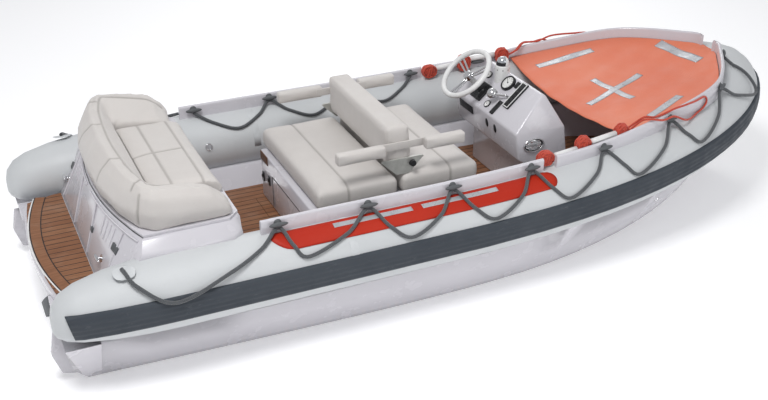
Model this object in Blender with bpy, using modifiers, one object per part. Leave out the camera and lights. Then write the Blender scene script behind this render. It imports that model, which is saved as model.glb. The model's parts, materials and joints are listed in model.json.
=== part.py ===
# Jet tender: a rigid hulled inflatable boat with a water jet, a bench, a console and a stern sofa.
# Frame: +X to the bow, +Y to port, +Z up; the origin is amidships on the centre line, at the waterline.
# Units are metres. Left and right halves come from the same functions, with side = +1 for port.

import math

import bmesh
import bpy
from mathutils import Matrix, Vector

for old in list(bpy.data.objects):
    bpy.data.objects.remove(old, do_unlink=True)

# Driving dimensions

gap = 0.0003                  # left between pieces that touch

collar_radius = 0.200         # the inflated collar's tube
collar_breadth = 0.820        # from the centre line to the tube's own centre
collar_z = 0.469
collar_tip_x = 2.232          # the tube's centre at the bow
bow_start_x = -0.963          # where the tube begins to curve in
bow_fullness = 3.82
side_fullness = 1.565
rise_start_x = -0.50
bow_rise = 0.208
chamber_joint_x = bow_start_x # the aft chambers end and the bow chamber begins

strake_height = 0.142
strake_depth = 0.014
strake_ribs = 5
strake_groove = 0.004         # between two ribs
strake_root = 0.020           # how far its uncut section reaches into the tube
strake_aft_x = -2.4395        # its cut end, whose top lies further aft than its foot
strake_end_slant = -0.218     # in x, for each metre of height

rail_height = 0.085
rail_thickness = 0.024

sole_z = 0.195
teak_thickness = 0.010
hull_top_z = 0.362
transom_x = -2.300
platform_z = 0.407            # the top of the platform's teak
cockpit_aft_x = -1.950
cockpit_fore_x = 1.620

rope_radius = 0.008
cleat_length = 0.090
cleat_radius = 0.010

cleats = [                    # x, half breadth, height: eight a side, 0.51 m apart round the rail
    (-1.326, 0.812, 0.710),
    (-0.816, 0.812, 0.710),
    (-0.306, 0.812, 0.710),
    (0.204, 0.801, 0.718),
    (0.714, 0.776, 0.735),
    (1.239, 0.701, 0.795),
    (1.734, 0.545, 0.862),
    (2.055, 0.160, 0.906),
]

sides = {"starboard": -1, "port": 1}

# Collections and materials

boat = bpy.data.collections.new("jet_tender")
bpy.context.scene.collection.children.link(boat)
cutters = bpy.data.collections.new("cutters")
bpy.context.scene.collection.children.link(cutters)


def paint(name, colour, roughness, metallic=0.0):
    material = bpy.data.materials.new(name)
    material.use_nodes = True
    shader = material.node_tree.nodes["Principled BSDF"]
    shader.inputs["Base Color"].default_value = (*colour, 1.0)
    shader.inputs["Roughness"].default_value = roughness
    shader.inputs["Metallic"].default_value = metallic
    material.diffuse_color = (*colour, 1.0)
    return material


gelcoat = paint("gelcoat", (0.80, 0.79, 0.84), 0.25)
collar_fabric = paint("collar_fabric", (0.74, 0.76, 0.77), 0.55)
strake_rubber = paint("strake_rubber", (0.055, 0.068, 0.085), 0.60)
upholstery = paint("upholstery", (0.78, 0.75, 0.71), 0.60)
teak = paint("teak", (0.30, 0.13, 0.06), 0.60)
rope_grey = paint("rope_grey", (0.07, 0.075, 0.08), 0.80)
chrome = paint("chrome", (0.80, 0.80, 0.80), 0.12, 1.0)
black_plastic = paint("black_plastic", (0.02, 0.02, 0.022), 0.40)
orange_fabric = paint("orange_fabric", (0.72, 0.19, 0.09), 0.55)
rope_orange = paint("rope_orange", (0.66, 0.08, 0.03), 0.75)
white_plastic = paint("white_plastic", (0.82, 0.82, 0.82), 0.35)
bracket_metal = paint("bracket_metal", (0.55, 0.57, 0.52), 0.35, 0.8)
cast_metal = paint("cast_metal", (0.30, 0.31, 0.32), 0.45, 0.7)

# Helpers: each makes one object from Blender's own tools


def finish(obj, material, collection=boat, smooth=30.0):
    for other in list(obj.users_collection):
        other.objects.unlink(obj)
    collection.objects.link(obj)
    obj.data.materials.clear()
    obj.data.materials.append(material)
    if collection is cutters:
        obj.hide_render = True
        obj.display_type = "WIRE"
    if obj.type == "MESH" and smooth:
        obj.data.shade_smooth()
        obj.data.set_sharp_from_angle(angle=math.radians(smooth))
    return obj


def from_bmesh(name, bm, material, collection=boat, smooth=30.0):
    bmesh.ops.recalc_face_normals(bm, faces=bm.faces)
    mesh = bpy.data.meshes.new(name)
    bm.to_mesh(mesh)
    bm.free()
    obj = bpy.data.objects.new(name, mesh)
    bpy.context.scene.collection.objects.link(obj)
    return finish(obj, material, collection, smooth)


def to_mesh(obj):
    """Replace a curve object by the closed mesh that it draws."""
    bpy.context.view_layer.update()
    evaluated = obj.evaluated_get(bpy.context.evaluated_depsgraph_get())
    mesh = bpy.data.meshes.new_from_object(evaluated)
    bm = bmesh.new()
    bm.from_mesh(mesh)
    bmesh.ops.remove_doubles(bm, verts=bm.verts, dist=0.00001)
    bmesh.ops.recalc_face_normals(bm, faces=bm.faces)
    bm.to_mesh(mesh)
    bm.free()
    name, matrix, collection = obj.name, obj.matrix_world.copy(), obj.users_collection[0]
    material = obj.data.materials[0]
    bpy.data.objects.remove(obj, do_unlink=True)
    solid = bpy.data.objects.new(name, mesh)
    solid.matrix_world = matrix
    bpy.context.scene.collection.objects.link(solid)
    return finish(solid, material, collection)


def box(name, low, high, material, bevel=0.0, collection=boat, segments=2):
    """A box between two corners, with rounded edges where bevel is given."""
    centre = [(a + b) / 2 for a, b in zip(low, high)]
    size = [b - a for a, b in zip(low, high)]
    bm = bmesh.new()
    bmesh.ops.create_cube(bm, size=1.0, matrix=Matrix.Diagonal((*size, 1.0)))
    obj = from_bmesh(name, bm, material, collection)
    obj.location = centre
    if bevel:
        round_edges(obj, bevel, segments)
    return obj


def round_edges(obj, width, segments=2, angle=35.0):
    bevel = obj.modifiers.new("rounded", "BEVEL")
    bevel.width = width
    bevel.segments = segments
    bevel.limit_method = "ANGLE"
    bevel.angle_limit = math.radians(angle)


def drum(name, radius, length, centre, axis, material, collection=boat, sides_round=24, end_radius=None):
    """A cylinder or cone of the given length, centred on a point, along an axis."""
    bm = bmesh.new()
    bmesh.ops.create_cone(
        bm, cap_ends=True, segments=sides_round, depth=length,
        radius1=radius, radius2=radius if end_radius is None else end_radius)
    obj = from_bmesh(name, bm, material, collection)
    obj.location = centre
    obj.rotation_euler = Vector(axis).to_track_quat("Z", "Y").to_euler()
    return obj


def plate(name, outline, z_low, z_high, material, collection=boat):
    """A flat outline in plan, filled and given its thickness."""
    curve = bpy.data.curves.new(name, "CURVE")
    curve.dimensions = "2D"
    curve.fill_mode = "BOTH"
    curve.extrude = (z_high - z_low) / 2
    spline = curve.splines.new("POLY")
    spline.points.add(len(outline) - 1)
    for point, (x, y) in zip(spline.points, outline):
        point.co = (x, y, 0.0, 1.0)
    spline.use_cyclic_u = True
    obj = bpy.data.objects.new(name, curve)
    bpy.context.scene.collection.objects.link(obj)
    obj.location.z = (z_low + z_high) / 2
    return finish(obj, material, collection)


def side_plate(name, outline, y_low, y_high, material, collection=boat):
    """An outline drawn in X and Z, given its width across the boat."""
    obj = plate(name, outline, y_low, y_high, material, collection)
    obj.rotation_euler = (math.radians(90), 0, 0)
    obj.location = (0, (y_low + y_high) / 2, 0)
    return obj


def pipe(name, route, radius, material, collection=boat, resolution=2):
    """A round tube along points of (x, y, z) or (x, y, z, radius)."""
    curve = bpy.data.curves.new(name, "CURVE")
    curve.dimensions = "3D"
    curve.twist_mode = "Z_UP"
    curve.bevel_depth = radius
    curve.bevel_resolution = resolution
    curve.use_fill_caps = True
    spline = curve.splines.new("POLY")
    spline.points.add(len(route) - 1)
    for point, place in zip(spline.points, route):
        point.co = (*place[:3], 1.0)
        if len(place) > 3:
            point.radius = place[3] / radius
    obj = bpy.data.objects.new(name, curve)
    bpy.context.scene.collection.objects.link(obj)
    return finish(obj, material, collection)


def loft(name, rings, material, collection=boat, split=True):
    """A closed solid through rings of as many points each; split cuts its quads into triangles."""
    bm = bmesh.new()
    rings = [[bm.verts.new(point) for point in ring] for ring in rings]
    for ring, following in zip(rings, rings[1:]):
        for k in range(len(ring)):
            j = (k + 1) % len(ring)
            bm.faces.new((ring[k], ring[j], following[j], following[k]))
    bm.faces.new(rings[0])
    bm.faces.new(rings[-1])
    if split:
        bmesh.ops.triangulate(bm, faces=bm.faces)
    return from_bmesh(name, bm, material, collection)


def strip(name, frames, section, material, collection=boat):
    """A strip whose section, in (outward, up) steps, is carried along frames of place, outward and radius."""
    rings = []
    for place, outward, radius in frames:
        rings.append([place + outward * out + Vector((0, 0, up)) for out, up in section(place, radius)])
    return loft(name, rings, material, collection, split=False)


def curve_through(rows, steps):
    """Rows of numbers on a Catmull-Rom curve through the given ones, with so many steps between two."""
    before = [2 * a - b for a, b in zip(rows[0], rows[1])]
    after = [2 * a - b for a, b in zip(rows[-1], rows[-2])]
    ends = [before] + [list(row) for row in rows] + [after]
    fine = []
    for a, b, c, d in zip(ends, ends[1:], ends[2:], ends[3:]):
        for k in range(steps):
            t = k / steps
            fine.append([0.5 * (2 * q + (r - p) * t + (2 * p - 5 * q + 4 * r - s) * t * t
                                + (3 * q - p - 3 * r + s) * t ** 3)
                         for p, q, r, s in zip(a, b, c, d)])
    fine.append(list(rows[-1]))
    return fine


def turned(name, profile, place, axis, material, collection=boat, steps=24):
    """A solid of revolution from a profile of (radius, along), about an axis through a place."""
    bm = bmesh.new()
    points = [bm.verts.new((radius, 0, along)) for radius, along in profile]
    lines = [bm.edges.new(pair) for pair in zip(points, points[1:])]
    bmesh.ops.spin(
        bm, geom=points + lines, cent=(0, 0, 0), axis=(0, 0, 1),
        angle=math.radians(360), steps=steps, use_merge=True)
    bmesh.ops.remove_doubles(bm, verts=bm.verts, dist=0.00001)
    obj = from_bmesh(name, bm, material, collection)
    obj.location = place
    obj.rotation_euler = Vector(axis).to_track_quat("Z", "Y").to_euler()
    return obj


def turning_on(name, place, pieces):
    """An empty on a joint's axis that carries the pieces which turn about it."""
    empty = bpy.data.objects.new(name, None)
    empty.location = place
    boat.objects.link(empty)
    for piece in pieces:
        piece.parent = empty
        piece.matrix_parent_inverse = Matrix.Translation(place).inverted()
    return empty


def apply_modifiers(obj):
    bpy.context.view_layer.update()
    evaluated = obj.evaluated_get(bpy.context.evaluated_depsgraph_get())
    mesh = bpy.data.meshes.new_from_object(evaluated)
    obj.modifiers.clear()
    obj.data = mesh
    return obj


def combine(obj, other, operation, solver="EXACT"):
    """Cut another solid away from obj, or join it on."""
    boolean = obj.modifiers.new(operation.lower(), "BOOLEAN")
    boolean.operation = operation
    boolean.object = other
    boolean.solver = solver
    apply_modifiers(obj)
    if operation == "UNION":
        bpy.data.objects.remove(other, do_unlink=True)
    return obj


# The collar's line: its centre, height and radius along the boat


def collar_height(x):
    share = max(0.0, (x - rise_start_x) / (collar_tip_x - rise_start_x))
    return collar_z + bow_rise * share ** 2.25


def collar_point(x):
    """Half breadth of the tube's centre at x."""
    if x <= bow_start_x:
        return collar_breadth
    share = (x - bow_start_x) / (collar_tip_x - bow_start_x)
    return collar_breadth * (1 - min(share, 1.0) ** bow_fullness) ** (1 / side_fullness)


stern_cone = [                # x, radius: the tube tapers to a rounded end
    (-2.515, 0.040),
    (-2.500, 0.082),
    (-2.455, 0.122),
    (-2.380, 0.150),
    (-2.230, 0.178),
    (-2.050, 0.195),
    (-1.900, 0.200),
]
cone_drop = 0.3               # its centre sinks by this share of what the radius loses


def cone_point(x):
    """A point of the route on the stern cone, between two of its rings."""
    for (aft_x, aft_radius), (fore_x, fore_radius) in zip(stern_cone, stern_cone[1:]):
        if aft_x <= x <= fore_x:
            share = (x - aft_x) / (fore_x - aft_x)
            radius = aft_radius + (fore_radius - aft_radius) * share
    return x, collar_breadth, collar_z - cone_drop * (collar_radius - radius), radius


def collar_route():
    """Points (x, half breadth, z, radius) from the stern to the bow, on one side."""
    route = []
    for x, unused in stern_cone:
        route.append(cone_point(x))
    for x in (-1.40, bow_start_x, bow_start_x + 0.02):
        route.append((x, collar_breadth, collar_height(x), collar_radius))
    reach = collar_tip_x - bow_start_x
    turn_steps = 22
    for step in range(1, turn_steps + 1):
        turn = math.radians(90 * step / turn_steps)
        x = bow_start_x + reach * math.sin(turn) ** (2 / bow_fullness)
        y = collar_breadth * math.cos(turn) ** (2 / side_fullness)
        if step == turn_steps:
            y = 0.0
        route.append((x, y, collar_height(x), collar_radius))
    return route


half_route = collar_route()
joint_index = next(k for k, p in enumerate(half_route) if p[0] == chamber_joint_x)


def on_side(points, side):
    return [(p[0], side * p[1], *p[2:]) for p in points]


whole_route = on_side(half_route, -1) + on_side(half_route[:-1], 1)[::-1]
tube_resolution = 8


def grown(route, extra):
    return [(*p[:3], p[3] + extra) for p in route]


collar_cutter = to_mesh(
    pipe("collar_cutter", grown(whole_route, 2 * gap), collar_radius, gelcoat, cutters, tube_resolution))

# Collar: two aft chambers and the bow chamber that joins them

for side_name, side in sides.items():
    aft = on_side(half_route[:joint_index + 1], side)
    pipe("tube_" + side_name, aft, collar_radius, collar_fabric, boat, tube_resolution)

starboard_bow = on_side(half_route[joint_index:], -1)
port_bow = on_side(half_route[joint_index:-1], 1)
starboard_bow[0] = (chamber_joint_x + gap, *starboard_bow[0][1:])
port_bow[0] = (chamber_joint_x + gap, *port_bow[0][1:])
pipe("tube_bow", starboard_bow + port_bow[::-1], collar_radius, collar_fabric, boat, tube_resolution)


def outward_frames(points, side):
    """Each point, the level direction that points away from the boat there, and the radius it carries."""
    frames = []
    for k, point in enumerate(points):
        before = Vector(points[max(k - 1, 0)][:3])
        after = Vector(points[min(k + 1, len(points) - 1)][:3])
        along = after - before
        outward = Vector((along.y, -along.x, 0)).normalized()
        if outward.y * side < 0 and abs(point[1]) > 0.05:
            outward = -outward
        if abs(point[1]) <= 0.05:
            outward = Vector((1, 0, 0))
        radius = point[3] if len(point) > 3 else 0.0
        frames.append((Vector(point[:3]), outward, radius))
    return frames


# Rub strakes: ribbed rubber on the tube's outer side, cut to the tube's curve

strake_route = [cone_point(strake_aft_x)] + [p for p in half_route if p[0] > strake_aft_x]


def strake_section(radius):
    """Ribbed outline of the strake, from its lower inner corner round to its upper one."""
    half = strake_height / 2
    rib = strake_height / strake_ribs

    def at(up, depth):
        return math.sqrt((radius + depth) ** 2 - up ** 2), up

    edge_depth = strake_depth - strake_groove
    points = [at(-half, -strake_root)]
    for k in range(strake_ribs):
        low = -half + k * rib
        points.append(at(low, edge_depth))
        points.append(at(low + 0.30 * rib, strake_depth))
        points.append(at(low + 0.70 * rib, strake_depth))
    points.append(at(half, edge_depth))
    points.append(at(half, -strake_root))
    return points


def strake_ring(frame):
    place, outward, radius = frame
    slant = strake_end_slant if place.x < strake_aft_x + gap else 0.0
    return [place + outward * out + Vector((slant * up, 0, up)) for out, up in strake_section(radius)]


for side_name, side in sides.items():
    frames = outward_frames(on_side(strake_route, side), side)
    place, outward, radius = frames[-1]
    frames[-1] = (place + Vector((0, side * gap / 2, 0)), outward, radius)
    rings = [strake_ring(frame) for frame in frames]
    strake = loft("strake_" + side_name, rings, strake_rubber, split=False)
    combine(strake, collar_cutter, "DIFFERENCE")

# Hull: a vee bottom in stations, hollowed for the cockpit and cradling the collar

hull_stations = [             # x, keel z, chine half breadth, chine z, sheer half breadth, sheer z, top z
    (-2.300, -0.270, 0.740, 0.000, 0.915, 0.305, 0.362),
    (-1.500, -0.285, 0.775, 0.000, 0.940, 0.305, 0.362),
    (-0.600, -0.290, 0.800, 0.000, 0.940, 0.305, 0.362),
    (0.200, -0.290, 0.785, 0.005, 0.925, 0.315, 0.372),
    (0.800, -0.275, 0.710, 0.030, 0.860, 0.345, 0.400),
    (1.300, -0.235, 0.585, 0.080, 0.745, 0.390, 0.440),
    (1.700, -0.165, 0.420, 0.150, 0.590, 0.440, 0.480),
    (2.000, -0.050, 0.235, 0.240, 0.400, 0.480, 0.510),
    (2.180, 0.100, 0.090, 0.330, 0.190, 0.510, 0.530),
    (2.260, 0.260, 0.030, 0.400, 0.060, 0.530, 0.545),
]
chine_flat = 0.035


def hull_ring(station):
    x, keel, chine_y, chine_z, sheer_y, sheer_z, top = station
    flat = min(chine_flat, 0.4 * chine_y)
    half = [
        (chine_y - flat, chine_z - 0.004),
        (chine_y, chine_z),
        (chine_y + 0.012, chine_z + 0.030),
        (sheer_y, sheer_z),
        (sheer_y - 0.3 * (sheer_y - chine_y), top),
    ]
    ring = [(x, 0, keel)] + [(x, y, z) for y, z in half]
    return ring + [(x, 0, top)] + [(x, -y, z) for y, z in reversed(half)]


hull = loft("hull", [hull_ring(station) for station in curve_through(hull_stations, 3)], gelcoat)


def cockpit_outline(inset):
    """Plan outline of the cockpit floor, inside the tubes."""
    half = []
    for x in (cockpit_aft_x + inset, -1.2, -0.4, 0.2, 0.6, 1.0, 1.3, 1.5, cockpit_fore_x - inset):
        half.append((x, max(0.12, collar_point(x) - 0.215 - 0.10 * max(0, x - 0.8) - inset)))
    return half + [(x, -y) for x, y in reversed(half)]


channel = to_mesh(plate("cockpit_cutter", cockpit_outline(0.0), sole_z, 0.80, gelcoat, cutters))
combine(hull, channel, "DIFFERENCE")
combine(hull, collar_cutter, "DIFFERENCE", "MANIFOLD")

# Teak sole, with a hatch let into it between the sofa and the bench

sole_top = sole_z + teak_thickness
hatch_fore_x, hatch_aft_x, hatch_half = -1.060, -1.430, 0.420
hatch_joint = 0.003
sole = to_mesh(plate("sole_teak", cockpit_outline(0.004), sole_z + gap, sole_top, teak))
hatch_place = box(
    "hatch_cutter", (hatch_aft_x, -hatch_half, sole_z - 0.01), (hatch_fore_x, hatch_half, sole_top + 0.01),
    teak, collection=cutters)
combine(sole, hatch_place, "DIFFERENCE")
box(
    "sole_hatch", (hatch_aft_x + hatch_joint, -hatch_half + hatch_joint, sole_z + gap),
    (hatch_fore_x - hatch_joint, hatch_half - hatch_joint, sole_top), teak)

# Swim platform, its teak and the fender strip round its lip

platform_fore_x = cockpit_aft_x
platform_corner = (-2.450, 0.568)
platform_bulge_x = -2.500


def platform_outline(inset):
    """Plan outline with a bowed aft edge."""
    outline = [(platform_fore_x - inset, 0.625 - inset), (-2.280, 0.622 - inset)]
    steps = 10
    x_corner, y_corner = platform_corner
    sagitta = x_corner - platform_bulge_x
    for step in range(steps + 1):
        share = 1 - 2 * step / steps
        y = (y_corner - inset) * share
        x = x_corner - sagitta * (1 - share ** 2) + inset
        outline.append((x, y))
    outline += [(-2.280, -0.622 + inset), (platform_fore_x - inset, -0.625 + inset)]
    return outline


platform_top = platform_z - teak_thickness
plate("swim_platform", platform_outline(0.0), hull_top_z + gap, platform_top, gelcoat)
teak_inset = 0.014
teak_fore_x = -2.229          # it ends just aft of the engine box's foot
deck_teak = [(min(x, teak_fore_x), y) for x, y in platform_outline(teak_inset)]
plate("platform_teak", deck_teak, platform_top + gap, platform_z, teak)

# Rails: the upright strip along the tube's top, with the rope cleats joined to it


def smooth_route(points, spacing):
    """Points at an even spacing on a Catmull-Rom curve through the given ones."""
    fine = [Vector(row) for row in curve_through(points, 24)]
    lengths = [0.0]
    for a, b in zip(fine, fine[1:]):
        lengths.append(lengths[-1] + (b - a).length)
    count = max(2, round(lengths[-1] / spacing))
    even, k = [], 0
    for step in range(count + 1):
        target = lengths[-1] * step / count
        while k < len(fine) - 2 and lengths[k + 1] < target:
            k += 1
        share = (target - lengths[k]) / max(lengths[k + 1] - lengths[k], 1e-9)
        even.append(fine[k].lerp(fine[k + 1], min(share, 1.0)))
    return even


def rail_points(side):
    """The rail's mid line: through the cleats, with an end before the first and after the last."""
    line = [Vector((x, side * y, z - 0.003)) for x, y, z in cleats]
    start = line[0] + Vector((-0.30, 0, 0))
    end = Vector((2.085, side * 0.060, 0.906))
    return smooth_route([start] + line + [end], 0.06)


rail_aft_end_x = 0.300
rail_fore_start_x = 0.375
rail_start_x = -1.420


def rail_section(place, radius):
    """A flat upright strip, growing taller at the bow; its foot runs into the tube to be cut to it."""
    growth = max(0.0, (place.x - 0.5) / 1.55)
    top = (rail_height + 0.035 * growth) / 2
    half = rail_thickness / 2
    return [(-half, -0.075), (half, -0.075), (half, top - 0.006), (half - 0.006, top), (-half, top)]


def cleat_on(rail, side, place, outward, inner):
    """A T shaped rope cleat on the rail, with a second bar inboard where the inner line hangs."""
    along = Vector((-outward.y, outward.x, 0))
    reach = rail_thickness / 2 + 0.012
    lift = Vector((0, 0, 0.012))
    faces = (1, -1) if inner else (1,)
    for face in faces:
        post_centre = place + lift + outward * face * reach * 0.75
        post = drum("post", 0.012, 0.022, post_centre, outward, rope_grey, sides_round=8)
        bar_centre = place + lift + outward * face * (reach + 0.006)
        bar = drum("bar", cleat_radius, cleat_length, bar_centre, along, rope_grey, sides_round=8)
        combine(rail, post, "UNION")
        combine(rail, bar, "UNION")


for side_name, side in sides.items():
    frames = outward_frames([tuple(p) for p in rail_points(side)], side)
    stretches = {
        "rail_aft_": (rail_start_x, rail_aft_end_x, cleats[:4]),
        "rail_fore_": (rail_fore_start_x, 9.0, cleats[4:]),
    }
    for prefix, (low_x, high_x, own_cleats) in stretches.items():
        own = [f for f in frames if low_x < f[0].x < high_x]
        rail = strip(prefix + side_name, own, rail_section, gelcoat)
        combine(rail, collar_cutter, "DIFFERENCE")
        for x, y, z in own_cleats:
            place = Vector((x, side * y, z))
            nearest = min(frames, key=lambda f: (f[0] - place).length)
            cleat_on(rail, side, place, nearest[1], x < 0.8)

# Engine box: it stands on the platform and the sole, and rests its flanks on the tubes

box_top = 0.735
box_fore_x = -1.480
box_inner_half = 0.600
box_foot_x = -2.225           # its aft face at the platform
foot_z = platform_top + gap
sole_foot_z = sole_top + gap


def box_aft_x(y, z):
    """The aft face leans forward to its top, where it is bowed in plan."""
    bowed = -2.000 - 0.130 * (1 - min(abs(y) / 0.725, 1.0) ** 2)
    share = (z - foot_z) / (box_top - foot_z)
    return box_foot_x + (bowed - box_foot_x) * share


def box_ring(z, half, fore_x):
    """Plan outline of the engine box at a height: a bowed aft edge, then its square fore end."""
    steps = 12
    ring = []
    for step in range(steps + 1):
        y = half * (1 - 2 * step / steps)
        ring.append((box_aft_x(y, z), y, z))
    corner = 0.060
    return ring + [(fore_x - corner, -half, z), (fore_x, -half + corner, z),
                   (fore_x, half - corner, z), (fore_x - corner, half, z)]


box_levels = [                # height, half breadth, fore end
    (foot_z, 0.800, -1.490),
    (0.667, 0.805, -1.490),
    (0.690, 0.790, -1.492),
    (box_top - 0.012, 0.728, box_fore_x),
    (box_top, 0.720, box_fore_x - 0.008),
]
engine_box = loft("engine_box", [box_ring(*level) for level in box_levels], gelcoat)
well_part = box(
    "well_part", (cockpit_aft_x + 0.006, -box_inner_half, sole_foot_z), (box_fore_x, box_inner_half, 0.700),
    gelcoat)
combine(engine_box, well_part, "UNION")
wall = 0.030
hollow = box(
    "box_cutter", (-1.910, -box_inner_half + wall, 0.10), (box_fore_x - wall, box_inner_half - wall, 0.90),
    gelcoat, collection=cutters)
combine(engine_box, hollow, "DIFFERENCE")
combine(engine_box, collar_cutter, "DIFFERENCE", "MANIFOLD")
box("engine_block", (-1.880, -0.300, sole_foot_z), (-1.540, 0.300, 0.640), cast_metal, 0.02)

# Engine lid with the sofa on it: they lift together on the hinge at the lid's fore edge

lid_low = box_top + gap
lid_top = 0.752
sofa_hinge = (box_fore_x, 0.0, lid_low + 0.004)
lid_inset = 0.003
lid_rings = []
for z in (lid_low, lid_top):
    ring = box_ring(box_top, 0.717, box_fore_x - 0.010)
    lid_rings.append([(x + lid_inset, y, z) for x, y, unused in ring])
engine_cover = loft("engine_cover", lid_rings, gelcoat)

sofa_low = lid_top + gap
sofa_stations = [
    # foot x, y, bulge x, y, crease x, y, z, crown x, y, z, inner rim x, y, z, seat side x, y
    (-2.118, 0.0, -2.136, 0.0, -2.096, 0.0, 0.955, -2.055, 0.0, 1.0, -1.995, 0.0, 0.97, -1.898, 0.0),
    (-2.108, 0.26, -2.128, 0.262, -2.086, 0.258, 0.955, -2.046, 0.25, 1.0, -1.986, 0.24, 0.97, -1.898, 0.2),
    (-2.064, 0.49, -2.088, 0.496, -2.05, 0.486, 0.955, -2.02, 0.472, 1.002, -1.965, 0.45, 0.973, -1.898, 0.35),
    (-2.005, 0.65, -2.024, 0.66, -1.996, 0.656, 0.954, -1.972, 0.63, 1.003, -1.93, 0.6, 0.974, -1.898, 0.449),
    (-1.94, 0.714, -1.95, 0.732, -1.94, 0.72, 0.947, -1.92, 0.68, 0.998, -1.885, 0.628, 0.966, -1.85, 0.449),
    (-1.75, 0.714, -1.75, 0.738, -1.75, 0.722, 0.92, -1.75, 0.676, 0.977, -1.75, 0.62, 0.942, -1.75, 0.449),
    (-1.62, 0.714, -1.62, 0.734, -1.62, 0.72, 0.896, -1.62, 0.672, 0.945, -1.62, 0.612, 0.91, -1.62, 0.449),
    (-1.548, 0.712, -1.54, 0.724, -1.545, 0.712, 0.85, -1.552, 0.664, 0.884, -1.56, 0.606, 0.855, -1.56, 0.45),
    (-1.52, 0.7, -1.508, 0.7, -1.512, 0.69, 0.798, -1.516, 0.65, 0.822, -1.522, 0.6, 0.8, -1.528, 0.468),
]
sofa_bulge_share = 0.55       # how far up to the crease its faces stand out most


def sofa_ring(station, side):
    foot_x, foot_y, bulge_x, bulge_y, *crease, crown_x, crown_y, crown_z, inner_x, inner_y, inner_z = station[:13]
    seat_x, seat_y = station[13:]
    bulge_z = sofa_low + sofa_bulge_share * (crease[2] - sofa_low)
    ring = [
        (foot_x, foot_y, sofa_low),
        (bulge_x, bulge_y, bulge_z),
        tuple(crease),
        (crown_x, crown_y, crown_z),
        (inner_x, inner_y, inner_z),
        (seat_x, seat_y, bulge_z),
        (seat_x, seat_y, sofa_low),
    ]
    return [(x, side * y, z) for x, y, z in ring]


sofa_rings = [sofa_ring(station, -1) for station in sofa_stations[::-1]]
sofa_rings += [sofa_ring(station, 1) for station in sofa_stations[1:]]
sofa_back = loft("sofa_back", sofa_rings, upholstery)

seat_profile = [
    (-1.897, sofa_low),
    (-1.500, sofa_low),
    (-1.484, 0.780),
    (-1.510, 0.825),
    (-1.580, 0.848),
    (-1.897, 0.848),
]
seat_half = 0.448
sofa_seat = side_plate("sofa_seat", seat_profile, -seat_half, seat_half, upholstery)
turning_on("sofa_hinge", sofa_hinge, [engine_cover, sofa_back, sofa_seat])

# Bench amidships: a moulded base, two cushions and the backrest that rocks between its brackets

bench_half = 0.460
cushion_half = 0.510
cushion_low = 0.530
cushion_top = 0.660
bench_split_x = -0.463
box(
    "bench_base", (-1.000, -bench_half, sole_foot_z),
    (-0.020, bench_half, cushion_low - gap), gelcoat, 0.012)
cushions = {                  # x from, x to
    "aft": (-0.990, bench_split_x - gap),
    "fore": (bench_split_x + gap, 0.060),
}
for cushion_name, (low_x, high_x) in cushions.items():
    box(
        "bench_cushion_" + cushion_name, (low_x, -cushion_half, cushion_low),
        (high_x, cushion_half, cushion_top), upholstery, 0.030, segments=3)

backrest_pivot = (-0.455, 0.0, 0.715)
back_half = 0.455
backrest_profile = [
    (-0.520, 0.700),
    (-0.395, 0.700),
    (-0.372, 0.775),
    (-0.390, 0.957),
    (-0.537, 0.957),
    (-0.535, 0.775),
]
backrest = to_mesh(side_plate("backrest", backrest_profile, -back_half, back_half, upholstery))
round_edges(backrest, 0.012, 2)
rocking = [backrest]
arms = {                      # x from, x to, of the arm cushions fixed to the backrest's ends
    "aft": (-0.864, -0.5355),
    "fore": (-0.372, -0.058),
}
arm_low, arm_top = 0.802, 0.880
arm_outer = 0.522
bracket_profile = [           # a vee plate, wide at its top
    (-0.480, cushion_top + gap),
    (-0.400, cushion_top + gap),
    (-0.305, 0.752),
    (-0.318, 0.760),
    (-0.562, 0.760),
    (-0.575, 0.752),
]
for side_name, side in sides.items():
    low_y, high_y = sorted((side * (back_half + gap), side * (back_half + 0.012)))
    side_plate("backrest_bracket_" + side_name, bracket_profile, low_y, high_y, bracket_metal)
    low_y, high_y = sorted((side * (back_half + gap), side * arm_outer))
    arm_root = 0.060
    for arm_name, (low_x, high_x) in arms.items():
        if arm_name == "aft":
            high_x += arm_root
        else:
            low_x -= arm_root
        rocking.append(box(
            "armrest_" + arm_name + "_" + side_name, (low_x, low_y, arm_low), (high_x, high_y, arm_top),
            upholstery, 0.010))
turning_on("backrest_pivot", backrest_pivot, rocking)

# Console with its instruments, and the steering wheel on its hub

console_half = 0.396
console_top_half = 0.314
dash_low = Vector((0.350, 0, 0.725))
dash_high = Vector((0.573, 0, 0.926))
console_profile = [
    (0.780, sole_foot_z),
    (0.702, 0.719),
    (0.630, 0.855),
    (0.597, 0.915),
    (dash_high.x, dash_high.z),
    (dash_low.x, dash_low.z),
    (0.381, 0.542),
    (0.500, 0.470),
    (0.500, sole_foot_z),
]


def console_half_at(z):
    """Its sides stand upright to the foot of the dash, then lean in to its top."""
    share = max((z - dash_low.z) / (dash_high.z - dash_low.z), 0.0)
    return console_half + (console_top_half - console_half) * share


console = to_mesh(side_plate("console", console_profile, -console_half, console_half, gelcoat))
bm = bmesh.new()
bm.from_mesh(console.data)
bmesh.ops.bisect_plane(
    bm, geom=bm.verts[:] + bm.edges[:] + bm.faces[:], dist=0.0001, plane_co=(0, dash_low.z, 0),
    plane_no=(0, 1, 0))
bmesh.ops.remove_doubles(bm, verts=bm.verts, dist=0.0001)
for vert in bm.verts:         # its mesh lies on its side: height along local Y, breadth along local Z
    vert.co.z *= console_half_at(vert.co.y) / console_half
bm.to_mesh(console.data)
bm.free()
round_edges(console, 0.015, 2)

dash_up = (dash_high - dash_low).normalized()
dash_out = Vector((-dash_up.z, 0, dash_up.x))
dash_turn = dash_out.to_track_quat("Z", "Y").to_euler()


def on_dash(y, up, out=0.0):
    """A point on the sloping dash, up from its lower edge and out from its face."""
    return dash_low + dash_up * up + dash_out * out + Vector((0, y, 0))


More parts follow.
